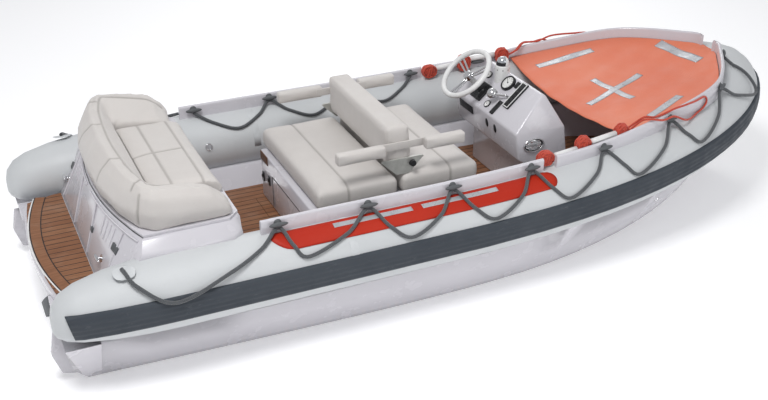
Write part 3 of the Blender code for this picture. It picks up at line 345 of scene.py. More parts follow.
def make_screen():
    """Dark glass over a display that is off."""
    finish = Finish("screen", (0.006, 0.006, 0.007), 0.15, Specular_IOR_Level=0.25)
    finish.mottle((6.0, 4.0), 0.6, (0.022, 0.023, 0.027))
    finish.roughen((50.0, 6.0, 0.7), 0.06, 0.22)
    return finish.bumps((200.0, 2.0), 0.00003).material


def make_clear():
    finish = Finish("clear_dome", (0.55, 0.57, 0.60), 0.05, 0.6, Coat_Weight=1.0)
    finish.mottle((30.0, 4.0), 0.8, (0.30, 0.32, 0.35))
    return finish.bumps((120.0, 3.0), 0.00005).material


def make_metal(name, colour, roughness, metallic, stretch):
    finish = Finish(name, colour, roughness, metallic)
    dark = tuple(part * 0.6 for part in colour)
    finish.mottle((20.0, 7.0, 0.6), 0.5, dark)
    brushed = finish.noise(150.0, 6.0, 0.7, finish.spot(stretch))
    finish.rough(brushed, roughness * 0.7, roughness * 1.3)
    return finish.relief(brushed, 0.0003).material


ropes = {                     # colour, the painted shade between its strands, its fuzz
    "rope_grey": ((0.085, 0.092, 0.100), (0.020, 0.022, 0.025), (0.22, 0.23, 0.24)),
    "rope_orange": ((0.62, 0.055, 0.022), (0.24, 0.014, 0.006), (0.80, 0.20, 0.11)),
}
plastics = {                  # colour, roughness, depth of the stipple
    "dial_face": ((0.68, 0.68, 0.66), 0.35, 0.00015),
    "thread": ((0.43, 0.41, 0.385), 0.75, 0.00015),
    "jet_black": ((0.010, 0.010, 0.011), 0.50, 0.00015),
    "black_plastic": ((0.014, 0.014, 0.016), 0.38, 0.00015),
    "white_plastic": ((0.66, 0.66, 0.655), 0.30, 0.00010),
    "seam_tape": ((0.50, 0.515, 0.525), 0.50, 0.00015),
    "cleat_grey": ((0.085, 0.090, 0.095), 0.55, 0.00040),
    "fender_grey": ((0.10, 0.11, 0.12), 0.55, 0.00040),
}
cover_fabrics = {             # colour, faded, worn, sheen
    "orange_fabric": ((0.70, 0.175, 0.092), (0.78, 0.25, 0.145), (0.56, 0.12, 0.06), 0.15),
    "patch_orange": ((0.41, 0.016, 0.003), (0.46, 0.024, 0.006), (0.30, 0.012, 0.004), 0.0),
}
metals = {                    # colour, roughness, how metallic, how its brushing is stretched
    "bracket_metal": ((0.50, 0.50, 0.47), 0.35, 0.30, (1, 12, 1)),
    "cast_metal": ((0.26, 0.27, 0.28), 0.50, 0.60, (1, 1, 1)),
}
finishes = {
    "gelcoat": make_gelcoat(),
    "collar_fabric": make_collar_fabric(),
    "strake_rubber": make_strake_rubber(),
    "upholstery": make_vinyl(),
    "teak": make_teak("teak", "Object", plank_pitch),
    "teak_margin": make_teak("teak_margin", "UV", margin_pitch),
    "screen": make_screen(),
    "clear_dome": make_clear(),
    "chrome": make_chrome(),
    "tape": make_tape(),
}
for make, table in ((make_rope, ropes), (make_plastic, plastics), (make_cover_fabric, cover_fabrics),
                    (make_metal, metals)):
    finishes.update({name: make(name, *row) for name, row in table.items()})

# Pieces: how a mesh becomes a piece of the boat

body_of = {node: obj["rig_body"] for node, obj in frame["nodes"].items()}
slots = {entry["node"]: entry["material_slot"] for entry in frame["record"]["subparts"]}


def piece(name, bm, finish, body="boat", replaces=(), smooth=35.0, slot=None, clean=True):
    """Finish a bmesh as a piece that rides on a body, standing for the CAD nodes it replaces."""
    if clean:
        bmesh.ops.remove_doubles(bm, verts=bm.verts, dist=0.00002)
        bmesh.ops.recalc_face_normals(bm, faces=bm.faces)
    mesh = bpy.data.meshes.new(name)
    bm.to_mesh(mesh)
    bm.free()
    mesh.shade_smooth()
    mesh.set_sharp_from_angle(angle=math.radians(smooth))
    obj = bpy.data.objects.new(name, mesh)
    bpy.context.scene.collection.objects.link(obj)
    mesh.materials.append(finishes[finish])
    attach(obj, body)
    if replaces:
        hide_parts(*replaces)
    return obj


def copy_of(node):
    """A CAD node's mesh as a bmesh, its loose triangles merged."""
    bm = bmesh.new()
    bm.from_mesh(frame["nodes"][node].data)
    bmesh.ops.remove_doubles(bm, verts=bm.verts, dist=0.00002)
    return bm


def dressed(node, smooth=35.0):
    """The CAD node's own shape, smoothly shaded and finished."""
    return piece(node + "_surface", copy_of(node), slots[node], body_of[node], [node], smooth, clean=False)


def rounded(obj, width):
    bevel = obj.modifiers.new("rounded", "BEVEL")
    bevel.width = width
    bevel.segments = 3
    bevel.limit_method = "ANGLE"
    bevel.angle_limit = math.radians(40)
    bevel.harden_normals = True
    return obj


def walled(obj, thickness, offset=1.0):
    wall = obj.modifiers.new("wall", "SOLIDIFY")
    wall.thickness = thickness
    wall.offset = offset
    return obj


def smooth_route(points, spacing):
    """Points at an even spacing on a Catmull-Rom curve through the given ones."""
    points = [Vector(p) for p in points]
    ends = [2 * points[0] - points[1]] + points + [2 * points[-1] - points[-2]]
    fine = []
    for a, b, c, d in zip(ends, ends[1:], ends[2:], ends[3:]):
        for k in range(24):
            t = k / 24
            fine.append(0.5 * (2 * b + (c - a) * t + (2 * a - 5 * b + 4 * c - d) * t * t
                               + (3 * b - a - 3 * c + d) * t ** 3))
    fine.append(points[-1])
    lengths = [0.0]
    for a, b in zip(fine, fine[1:]):
        lengths.append(lengths[-1] + (b - a).length)
    count = max(2, round(lengths[-1] / spacing))
    even, k = [], 0
    for step in range(count + 1):
        target = lengths[-1] * step / count
        while k < len(fine) - 2 and lengths[k + 1] < target:
            k += 1
        share = (target - lengths[k]) / max(lengths[k + 1] - lengths[k], 1e-9)
        even.append(fine[k].lerp(fine[k + 1], min(share, 1.0)))
    return even


def skin(frames, section):
    """A bmesh of a closed section carried along frames of place, outward and radius.

    section(place, radius) gives points in (outward, up) steps. The ring is extruded from frame to frame,
    and the UV map runs round the section and along it, in metres."""
    bm = bmesh.new()
    uv = bm.loops.layers.uv.new("UVMap")

    def points_at(frame_now):
        place, outward, up, radius = frame_now
        return [place + outward * out + up * high for out, high in section(place, radius)]

    first = points_at(frames[0])
    ring = [bm.verts.new(point) for point in first]
    count = len(ring)
    edges = [bm.edges.new((ring[k], ring[(k + 1) % count])) for k in range(count)]
    bm.faces.new(ring)
    round_at = [0.0]
    for k in range(count):
        round_at.append(round_at[-1] + (first[(k + 1) % count] - first[k]).length)
    along = 0.0
    for before, now in zip(frames, frames[1:]):
        made = bmesh.ops.extrude_edge_only(bm, edges=edges)["geom"]
        fresh = {item for item in made if isinstance(item, bmesh.types.BMVert)}
        following = [next(e.other_vert(v) for e in v.link_edges if e.other_vert(v) in fresh) for v in ring]
        for vert, point in zip(following, points_at(now)):
            vert.co = point
        onward = along + (now[0] - before[0]).length
        for k in range(count):
            j = (k + 1) % count
            corner_uv = {ring[k]: (round_at[k], along), ring[j]: (round_at[k + 1], along),
                         following[k]: (round_at[k], onward), following[j]: (round_at[k + 1], onward)}
            face = next(f for f in following[k].link_faces if ring[j] in f.verts and ring[k] in f.verts)
            for loop in face.loops:
                loop[uv].uv = corner_uv[loop.vert]
        ring = following
        edges = [bm.edges.get((ring[k], ring[(k + 1) % count])) for k in range(count)]
        along = onward
    bm.faces.new(ring)
    bmesh.ops.recalc_face_normals(bm, faces=bm.faces)
    return bm


def level_frames(points, side):
    """Each point with the level direction that points off the boat there, straight up, and its radius."""
    frames = []
    for k, point in enumerate(points):
        along = Vector(points[min(k + 1, len(points) - 1)][:3]) - Vector(points[max(k - 1, 0)][:3])
        outward = Vector((along.y, -along.x, 0)).normalized()
        if outward.y * side < 0 and abs(point[1]) > 0.05:
            outward = -outward
        if abs(point[1]) <= 0.05:
            outward = Vector((1, 0, 0))
        frames.append((Vector(point[:3]), outward, up_axis, point[3] if len(point) > 3 else 0.0))
    return frames


def turning_frames(points, radius):
    """Frames square to a free route, carried from point to point without twisting."""
    frames = []
    side = None
    for k, point in enumerate(points):
        along = (points[min(k + 1, len(points) - 1)] - points[max(k - 1, 0)]).normalized()
        if side is None:
            side = along.cross(up_axis if abs(along.dot(up_axis)) < 0.9 else Vector((1, 0, 0)))
        side = (side - along * side.dot(along)).normalized()
        frames.append((point, side, side.cross(along), radius))
    return frames


def ring_section(count):
    """A round section of so many points."""
    def section(place, radius):
        return [(radius * math.cos(2 * math.pi * k / count), radius * math.sin(2 * math.pi * k / count))
                for k in range(count)]
    return section


def rope_bm(points, radius, count=14):
    return skin(turning_frames(points, radius), ring_section(count))


# Small shapes that the fittings are built from


def facing(direction, along=(0, 1, 0)):
    """A turn that carries Z to a direction, and X as near as it can to another."""
    out = Vector(direction).normalized()
    along = Vector(along).normalized()
    if abs(out.dot(along)) > 0.99:
        along = Vector((1, 0, 0))
    first = (along - out * along.dot(out)).normalized()
    return Matrix((first, out.cross(first), out)).transposed().to_4x4()


def add_drum(bm, place, direction, radius, depth, end_radius=None, count=28):
    """A cylinder or cone centred on a point, narrowing along its direction to end_radius."""
    last = radius if end_radius is None else end_radius
    bmesh.ops.create_cone(
        bm, cap_ends=True, segments=count, radius1=radius, radius2=last, depth=depth,
        matrix=Matrix.Translation(place) @ facing(direction))


def add_block(bm, place, size, turn=None, round_by=0.0):
    """A box centred on a point, its edges rounded."""
    matrix = Matrix.Translation(place) @ (turn or Matrix.Identity(4)) @ Matrix.Diagonal((*size, 1))
    made = bmesh.ops.create_cube(bm, size=1.0, matrix=matrix)
    if round_by:
        edges = list({edge for vert in made["verts"] for edge in vert.link_edges})
        bmesh.ops.bevel(
            bm, geom=edges, offset=round_by, offset_type="OFFSET", segments=3, profile=0.5,
            affect="EDGES", material=-1)


def add_ball(bm, place, size, turn=None, count=28):
    matrix = Matrix.Translation(place) @ (turn or Matrix.Identity(4)) @ Matrix.Diagonal((*size, 1))
    bmesh.ops.create_uvsphere(bm, u_segments=count, v_segments=count // 2, radius=1.0, matrix=matrix)


def add_ring(bm, place, direction, radius, thickness, steps=64, count=16):
    """A torus round a direction."""
    turn = Matrix.Translation(place) @ facing(direction)
    start = Matrix.Translation((radius, 0, 0)) @ Matrix.Rotation(math.radians(90), 4, "X")
    verts = bmesh.ops.create_circle(bm, segments=count, radius=thickness, matrix=turn @ start)["verts"]
    edges = list({edge for vert in verts for edge in vert.link_edges})
    bmesh.ops.spin(
        bm, geom=verts + edges, cent=place, axis=direction, angle=2 * math.pi, steps=steps, use_merge=True)


def add_tube(bm, points, radius, count=12):
    """A round tube along points, joined to what is there."""
    part = rope_bm([Vector(point) for point in points], radius, count)
    mesh = bpy.data.meshes.new("part")
    part.to_mesh(mesh)
    part.free()
    bm.from_mesh(mesh)
    bpy.data.meshes.remove(mesh)


# The collar's line, as the tube runs


def collar_height(x):
    share = max(0.0, (x - rise_start_x) / (collar_tip_x - rise_start_x))
    return collar_z + bow_rise * share ** 2.25


def half_breadth_at(x):
    """Half breadth of the tube's centre at x."""
    if x <= bow_start_x:
        return collar_breadth
    share = (x - bow_start_x) / (collar_tip_x - bow_start_x)
    return collar_breadth * (1 - min(share, 1.0) ** bow_fullness) ** (1 / side_fullness)


stern_cone = [                # x, radius: the tube tapers to a rounded end
    (-2.515, 0.040),
    (-2.500, 0.082),
    (-2.455, 0.122),
    (-2.380, 0.150),
    (-2.230, 0.178),
    (-2.050, 0.195),
    (-1.900, 0.200),
]


def tube_side_point(x, side, lean, clearance):
    """A point beside the tube at x, leaning from its top by an angle, outboard if positive."""
    step = 0.001
    here = Vector((x, half_breadth_at(x), 0))
    ahead = Vector((x + step, half_breadth_at(x + step), 0))
    along = (ahead - here).normalized()
    outward = Vector((-along.y, along.x, 0))
    radius = collar_radius + clearance
    angle = math.radians(lean)
    place = here + outward * radius * math.sin(angle)
    place.z = collar_height(x) + radius * math.cos(angle)
    place.y *= side
    return place


def collar_route():
    """Points (x, half breadth, z, radius) from the stern to the bow, on one side, closely spaced."""
    route = []
    for x, radius in stern_cone:
        route.append((x, collar_breadth, collar_z - 0.3 * (collar_radius - radius), radius))
    for step in range(1, 12):
        x = -1.900 + (bow_start_x + 1.900) * step / 12
        route.append((x, collar_breadth, collar_height(x), collar_radius))
    reach = collar_tip_x - bow_start_x
    turn_steps = 60
    for step in range(turn_steps + 1):
        turn = math.radians(90 * step / turn_steps)
        x = bow_start_x + reach * math.sin(turn) ** (2 / bow_fullness)
        y = collar_breadth * math.cos(turn) ** (2 / side_fullness) if step < turn_steps else 0.0
        route.append((x, y, collar_height(x), collar_radius))
    return route


half_route = collar_route()
joint_index = next(k for k, point in enumerate(half_route) if point[0] >= bow_start_x)


def on_side(points, side):
    return [(p[0], side * p[1], *p[2:]) for p in points]


# Collar: two aft chambers and the bow chamber, in coated fabric

tube_sides = 48
for side_name, side in sides.items():
    aft = on_side(half_route[:joint_index + 1], side)
    bm = skin(level_frames(aft, side), ring_section(tube_sides))
    piece("tube_skin_" + side_name, bm, "collar_fabric", "boat", ["tube_" + side_name], 50)
starboard_bow = level_frames(on_side(half_route[joint_index:], -1), -1)
port_bow = level_frames(on_side(half_route[joint_index:-1], 1), 1)
bm = skin(starboard_bow + port_bow[::-1], ring_section(tube_sides))
piece("tube_skin_bow", bm, "collar_fabric", "boat", ["tube_bow"], 50)

for side_name in sides:
    dressed("strake_" + side_name, smooth=20)

# Patches and tapes on the tube: a grid laid over its surface, with rounded ends


def tube_patch(name, finish, side, low_x, high_x, low_lean, high_lean, end_round=0.0, lift=0.0008, slant=0.0,
               wall=0.0016):
    """A patch between two places along the tube and two leans from its top, its aft end slanted."""
    columns, rows = 48, 10
    bm = bmesh.new()
    bmesh.ops.create_grid(bm, x_segments=columns, y_segments=rows, size=1.0)
    for vert in bm.verts:
        across = vert.co.y
        drawn_in = end_round * (1 - math.sqrt(max(0.0, 1 - across ** 2)))
        start = low_x + drawn_in + slant * (across + 1) / 2
        x = start + (high_x - drawn_in - start) * (vert.co.x + 1) / 2
        lean = low_lean + (high_lean - low_lean) * (across + 1) / 2
        vert.co = tube_side_point(x, side, lean, lift)
    obj = piece(name, bm, finish, smooth=60)
    face = obj.data.polygons[0]
    outward = face.normal.dot(face.center - Vector((face.center.x, side * collar_breadth, collar_z)))
    if outward < 0:
        obj.data.flip_normals()
    return walled(obj, wall)


flash_lift = 0.0016
for side_name, side in sides.items():
    tube_patch("flash_" + side_name, "patch_orange", side, -1.415, 0.330, 4, 41, 0.060, flash_lift, 0.080)
    for k, (low_x, high_x) in enumerate([(-1.035, -0.575), (-0.515, -0.045)]):
        tube_patch(f"flash_tape_{k + 1}_{side_name}", "tape", side, low_x, high_x, 11, 20,
                   lift=2 * flash_lift + 0.0006, wall=0.0010)
    tube_patch("seam_band_" + side_name, "seam_tape", side, bow_start_x - 0.022, bow_start_x + 0.022, -88, 88)
    tube_patch("stern_patch_" + side_name, "seam_tape", side, -2.200, -2.085, 2, 30, 0.040)

# Rails along the tube's top, with their cleats


def rail_points(side):
    """The rail's mid line: through the cleats, with an end before the first and after the last."""
    line = [Vector((x, side * y, z - 0.003)) for x, y, z in cleats]
    start = line[0] + Vector((-0.30, 0, 0))
    end = Vector((2.085, side * 0.060, 0.906))
    return smooth_route([start] + line + [end], 0.03)


rail_frames = {side: level_frames([tuple(p) for p in rail_points(side)], side) for side in (-1, 1)}
rail_stretches = {            # from x, to x, cleats
    "rail_aft_": (-1.420, 0.300, cleats[:4]),
    "rail_fore_": (0.375, math.inf, cleats[4:]),
}


def rail_outward(place, side):
    """The level direction off the boat where the rail is nearest to a place."""
    return min(rail_frames[side], key=lambda rail_frame: (rail_frame[0] - place).length)[1]


def rail_section(place, radius):
    """An upright strip with a rounded top, growing taller at the bow, its foot sunk into the tube."""
    growth = max(0.0, (place.x - 0.5) / 1.55)
    top = (rail_height + 0.035 * growth) / 2
    half = rail_thickness / 2
    low = -top - 0.006
    crown = [(half * math.cos(math.radians(a)), top - half + half * math.sin(math.radians(a)))
             for a in range(0, 181, 30)]
    return [(-half, low), (half, low)] + crown


def add_cleat(bm, place, outward, along, faces):
    """A moulded T cleat: a round foot, a post and a bar with tapered ends, on each face named."""
    for face in faces:
        out = outward * face
        start = place + up_axis * 0.012 + out * (rail_thickness / 2 - 0.001)
        add_drum(bm, start + out * 0.004, out, 0.024, 0.008, 0.016, 20)
        add_drum(bm, start + out * 0.012, out, 0.015, 0.014, 0.013, 16)
        add_ball(bm, start + out * 0.020, (0.053, 0.0135, 0.0115), facing(out, along), 24)


for side_name, side in sides.items():
    for prefix, (low_x, high_x, own_cleats) in rail_stretches.items():
        own = [rail_frame for rail_frame in rail_frames[side] if low_x < rail_frame[0].x < high_x]
        piece(prefix + side_name + "_strip", skin(own, rail_section), "gelcoat", "boat",
              [prefix + side_name], 40)
        bm = bmesh.new()
        for x, y, z in own_cleats:
            place = Vector((x, side * y, z))
            outward = rail_outward(place, side)
            along = Vector((-outward.y, outward.x, 0))
            add_cleat(bm, place, outward, along, (1, -1) if x < 0.8 else (1,))
        piece(prefix + side_name + "_cleats", bm, "cleat_grey", smooth=45, clean=False)

# Lifelines: braided rope hung from cleat to cleat, along the routes that the solids hold


def held_at(place, outward, face):
    """Where the rope passes under a cleat, beside the rail."""
    beside = rail_thickness / 2 + rope_radius + 0.0003
    return place + outward * face * beside - Vector((0, 0, rope_radius + 0.001))


outer_lows = [                # between two cleats: x, lean from the tube's top in degrees
    (-1.220, 56),
    (-0.630, 62),
    (-0.120, 64),
    (0.370, 64),
    (0.860, 64),
    (1.370, 60),
    (1.960, 58),
]
inner_lows = [(-1.070, -50), (-0.560, -50), (-0.050, -48)]
rope_clear = rope_radius + 0.003
inner_rope_clear = rope_radius + 0.002
strake_clear = strake_depth + rope_radius + 0.002
stern_route = [               # from the stern to the first cleat: x, lean, how far clear of the tube
    (-2.150, 12, rope_clear),
    (-2.100, 45, rope_clear),
    (-1.930, 76, strake_clear),
    (-1.650, 55, strake_clear),
    (-1.450, 30, rope_clear),
]


def lifted(place, side, clear):
    """The same point, moved straight out of the tube or its strake where it would sink into them."""
    here = Vector((place.x, side * half_breadth_at(place.x), collar_height(place.x)))
    ahead_x = place.x + 0.001
    ahead = Vector((ahead_x, side * half_breadth_at(ahead_x), here.z))
    along = (ahead - here).normalized()
    away = place - here
    away -= along * away.dot(along)
    beside_strake = abs(away.z) < strake_height / 2 + rope_radius and away.y * side > 0
    needed = collar_radius + (strake_clear if beside_strake else clear)
    if away.length < needed:
        place = place + away.normalized() * (needed - away.length)
    return place


def lifeline(name, side, face, held, lows, lead_in, clear):
    """A rope from cleat to cleat on one face of the rail, its lows hanging beside the tube."""
    route = list(lead_in)
    for k, (x, y, z) in enumerate(held):
        place = Vector((x, side * y, z))
        route.append(held_at(place, rail_outward(place, side), face))
        if k < len(lows):
            low_x, lean = lows[k]
            next_x = held[k + 1][0]
            route.append(tube_side_point(x + 0.40 * (low_x - x), side, 0.62 * lean, clear))
            route.append(tube_side_point(low_x, side, lean, clear))
            route.append(tube_side_point(next_x - 0.40 * (next_x - low_x), side, 0.62 * lean, clear))
    resting = [lifted(place, side, clear) for place in smooth_route(route, 0.022)]
    piece(name + "_rope", rope_bm(resting, rope_shown), "rope_grey", "boat", [name], 60)


for side_name, side in sides.items():
    lead_in = [tube_side_point(x, side, lean, clear) for x, lean, clear in stern_route]
    lifeline("lifeline_outer_" + side_name, side, 1, cleats, outer_lows, lead_in, rope_clear)
    lifeline("lifeline_inner_" + side_name, side, -1, cleats[:4], inner_lows, [], inner_rope_clear)

# Bow lines: on each side an orange rope in three knots behind the rail, then a long loop over it

line_radius = 0.0065
knots = {                     # x, length along the rail, height
    "aft": (0.337, 0.115, 0.096),
    "mid": (0.600, 0.104, 0.125),
    "fore": (0.890, 0.104, 0.120),
}
line_loop = [                 # the free rope: out of the fore knot, over the rail, forward and back
    (0.944, 0.716, 0.776), (0.990, 0.708, 0.800), (1.035, 0.722, 0.833), (1.085, 0.745, 0.837),
    (1.160, 0.757, 0.824), (1.240, 0.752, 0.832), (1.330, 0.742, 0.790), (1.410, 0.705, 0.768),
    (1.480, 0.672, 0.778), (1.535, 0.656, 0.796), (1.566, 0.648, 0.826), (1.562, 0.646, 0.857),
    (1.530, 0.656, 0.873), (1.450, 0.683, 0.870), (1.350, 0.707, 0.869), (1.270, 0.716, 0.864),
    (1.180, 0.716, 0.8415), (1.110, 0.727, 0.840), (1.050, 0.711, 0.845), (1.000, 0.695, 0.813),
    (0.945, 0.698, 0.787),
]
lanes = 4


def stadium(length, height, steps):
    """An outline with round ends, in (along, up) steps from its centre."""
    radius = min(length, height) / 2
    reach_x, reach_z = length / 2 - radius, height / 2 - radius
    outline = []
    for quarter, (side_x, side_z) in enumerate(((1, 1), (-1, 1), (-1, -1), (1, -1))):
        for step in range(steps // 2 + 1):
            turn = math.radians(90 * (quarter + 2 * step / steps))
            outline.append((side_x * reach_x + radius * math.cos(turn),
                            side_z * reach_z + radius * math.sin(turn)))
    return outline


def knot_of(name, node, side):
    """A coil of rope in the solid's place: turns laid side by side, and two wraps round their middle."""
    low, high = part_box(node)
    centre = (low + high) / 2
    x, length, height = knots[name]
    near = min(rail_points(1), key=lambda point: abs(point.x - x))
    outward = rail_outward(Vector((near.x, side * near.y, near.z)), side)
    level = Vector((-outward.y, outward.x, 0)) * (1 if outward.y < 0 else -1)
    bm = bmesh.new()
    pitch = 2 * line_radius - 0.0010
    for lane in range(lanes):
        shift = (lane - (lanes - 1) / 2) * pitch
        for trim in (0.006 + 0.004 * (lane % 2), 0.036, 0.062):
            outline = stadium(length - 2 * line_radius - trim, height - 2 * line_radius - trim, 10)
            route = []
            for k, (along, up) in enumerate(outline + outline[:2]):
                sway = 0.0022 * math.sin(1.7 * k + 2.1 * lane + 60 * trim)
                route.append(centre + level * along + up_axis * up + outward * (shift + sway))
            add_tube(bm, smooth_route(route, 0.006), line_radius)
    for offset, tilt in ((-0.008, 0.012), (0.008, 0.009)):
        route = []
        for k in range(27):
            turn = 2 * math.pi * k / 24
            wide = (lanes * pitch / 2 - 0.001) * math.copysign(abs(math.cos(turn)) ** 0.6, math.cos(turn))
            tall = (height / 2 - line_radius - 0.001) * math.sin(turn)
            beside = level * (offset + tilt * math.sin(turn))
            route.append(centre + outward * wide + up_axis * tall + beside)
        add_tube(bm, smooth_route(route, 0.006), line_radius)
    return piece(node + "_coil", bm, "rope_orange", "boat", [node], 60)


for side_name, side in sides.items():
    coils = {name: knot_of(name, f"line_knot_{name}_{side_name}", side) for name in knots}
    for name in ("aft", "fore"):
        dressed(f"line_sleeve_{name}_{side_name}", smooth=50)
    path = smooth_route(on_side(line_loop, side), 0.010)
    rope = piece("line_loop_" + side_name + "_rope", rope_bm(path, line_radius), "rope_orange", "boat",
                 ["line_loop_" + side_name], 60)

# Hull, decks and engine box

dressed("hull")
for node in ("swim_platform", "engine_box", "engine_cover"):
    rounded(dressed(node), 0.003)
for node in ("platform_teak", "sole_teak", "sole_hatch"):
    dressed(node)

teak_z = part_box("platform_teak")[1].z
margin_width = 0.056
margin_half = 0.600
margin_aft_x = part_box("platform_teak")[0].x + 0.006 + margin_width / 2
margin_line = []              # along the platform's bowed aft edge, from starboard to port
for step in range(33):
    y = margin_half * (2 * step / 32 - 1)
    margin_line.append(Vector((margin_aft_x + 0.112 * (y / 0.640) ** 2, y, teak_z)))


def ribbon(name, finish, points, width, thickness):
    """A flat strip along level points, standing a little proud of what carries it."""
    frames = []
    for k, point in enumerate(points):
        along = (points[min(k + 1, len(points) - 1)] - points[max(k - 1, 0)]).normalized()
        frames.append((point, along.cross(up_axis).normalized(), up_axis, 0.0))
    low, high = -0.0004, thickness
    half = width / 2
    corners = [(-half, low), (half, low), (half, high), (-half, high)]
    return piece(name, skin(frames, lambda place, radius: corners), finish, smooth=30)


ribbon("platform_margin_caulk", "jet_black", margin_line, margin_width + 2 * caulk_width, 0.0006)
ribbon("platform_margin", "teak_margin", margin_line, margin_width, 0.0011)

# Engine box: its aft face, with what is fixed on it

box_foot_x, box_foot_z = -2.225, teak_z - 0.011
box_edge_x, box_edge_z = -2.000, 0.735          # the top of the aft face, at its corners
box_half, box_bow = 0.725, 0.130                # half its breadth, and how far its middle bows aft
box_latches = [               # y, z, breadth, height
    (-0.195, 0.560, 0.042, 0.030),
    (-0.545, 0.610, 0.075, 0.040),
    (0.640, 0.560, 0.050, 0.034),
]
box_cleats = [(-0.437, 0.507), (0.600, 0.497)]  # y, z
rib_heights = (0.420, 0.500, 0.580, 0.660, 0.700)


def on_box(y, z, out=0.0):
    """A point on the engine box's aft face."""
    bowed = box_edge_x - box_bow * (1 - min(abs(y) / box_half, 1.0) ** 2)
    share = (z - box_foot_z) / (box_edge_z - box_foot_z)
    return Vector((box_foot_x + (bowed - box_foot_x) * share - out, y, z))


def box_frame(y, z, out=0.0):
    """The same point, with the turn that lays X across the face, Y up it and Z out of it."""
    here = on_box(y, z)
    across = (on_box(y + 0.01, z) - here).normalized()
    up = (on_box(y, z + 0.01) - here).normalized()
    away = across.cross(up).normalized()
    if away.x > 0:
        away = -away
    turn = Matrix((up.cross(away), up, away)).transposed().to_4x4()
    return here + away * out, turn


bm = bmesh.new()              # on each side two upright ribs, four slats, and a rail under the lid
for side in (-1, 1):
    for y in (0.185, 0.560):
        route = [on_box(side * y, z, 0.0035) for z in rib_heights]
        add_tube(bm, smooth_route(route, 0.02), 0.006, 12)
    for k in range(4):
        place, turn = box_frame(side * (0.330 + 0.048 * k), 0.640, 0.001)
        add_block(bm, place, (0.012, 0.110, 0.008), turn, 0.003)
    rail_route = [on_box(side * y, 0.712, 0.004) for y in (0.05, 0.20, 0.40, 0.60, 0.70)]
    add_tube(bm, smooth_route(rail_route, 0.03), 0.005, 12)
piece("engine_box_ribs", bm, "gelcoat", smooth=50)
bm = bmesh.new()
for y, z, wide, tall in box_latches:
    place, turn = box_frame(y, z, 0.004)
    add_block(bm, place, (wide, tall, 0.010), turn, 0.003)
piece("engine_box_latches", bm, "cleat_grey", smooth=40)
bm = bmesh.new()
for y, z in box_cleats:
    place, turn = box_frame(y, z, 0.003)
    away = turn @ up_axis
    add_drum(bm, place, away, 0.024, 0.006, 0.022)
    add_drum(bm, place + away * 0.014, away, 0.008, 0.024)
    add_ball(bm, place + away * 0.028, (0.042, 0.010, 0.010), turn)
piece("engine_box_cleats", bm, "chrome", smooth=50)
bm = bmesh.new()              # painted shade: a black cord along the gap under the lid
for side in (-1, 1):
    gap_shade_route = [on_box(side * y, box_edge_z + 0.0022, 0.001) for y in (0.0, 0.2, 0.4, 0.6, 0.716)]
    add_tube(bm, smooth_route(gap_shade_route, 0.03), 0.0018, 6)
piece("engine_lid_gap_shade", bm, "jet_black", smooth=50)

# Stern: a white lip and a grey fender on the platform's aft edge, the valve in the port tube, hull outlets

lip_line = [point + Vector((-margin_width / 2 - 0.0115, 0, -0.004)) for point in margin_line]
bm = bmesh.new()
add_tube(bm, lip_line, 0.0060, 12)
piece("platform_lip", bm, "white_plastic", smooth=60)
bm = bmesh.new()
fender_z = (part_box("swim_platform")[0].z + teak_z) / 2 - 0.004
fender_line = [Vector((point.x + 0.004, point.y, fender_z)) for point in lip_line[1:-1]]
add_tube(bm, fender_line, 0.0085, 12)
piece("platform_fender", bm, "fender_grey", smooth=60)
bm = bmesh.new()
valve_place = Vector((-1.286, 0.628, 0.524))
valve_out = (valve_place - Vector((-1.286, collar_breadth, collar_z))).normalized()
add_drum(bm, valve_place + valve_out * 0.002, valve_out, 0.026, 0.006, 0.022, 40)
add_ring(bm, valve_place + valve_out * 0.005, valve_out, 0.020, 0.0032, 40, 10)
add_drum(bm, valve_place + valve_out * 0.007, valve_out, 0.010, 0.006, 0.009, 24)
piece("tube_valve", bm, "chrome", smooth=50)
bm = bmesh.new()
hull_tree = BVHTree.FromBMesh(copy_of("hull"))
for side in (-1, 1):
    spot, normal = hull_tree.find_nearest(Vector((1.285, side * 0.700, 0.187)))[:2]
    add_drum(bm, spot + normal * 0.002, normal, 0.021, 0.006, 0.018, 32)
    add_drum(bm, spot + normal * 0.004, normal, 0.010, 0.005, 0.009, 24)
piece("hull_outlets", bm, "chrome", smooth=50)

# Cushions: blown up as cloth inside their covers, then sewn

cover_slack = 0.005           # the cloth starts this far inside the solid
cloth_pressure = 4.0
cloth_frames = 20


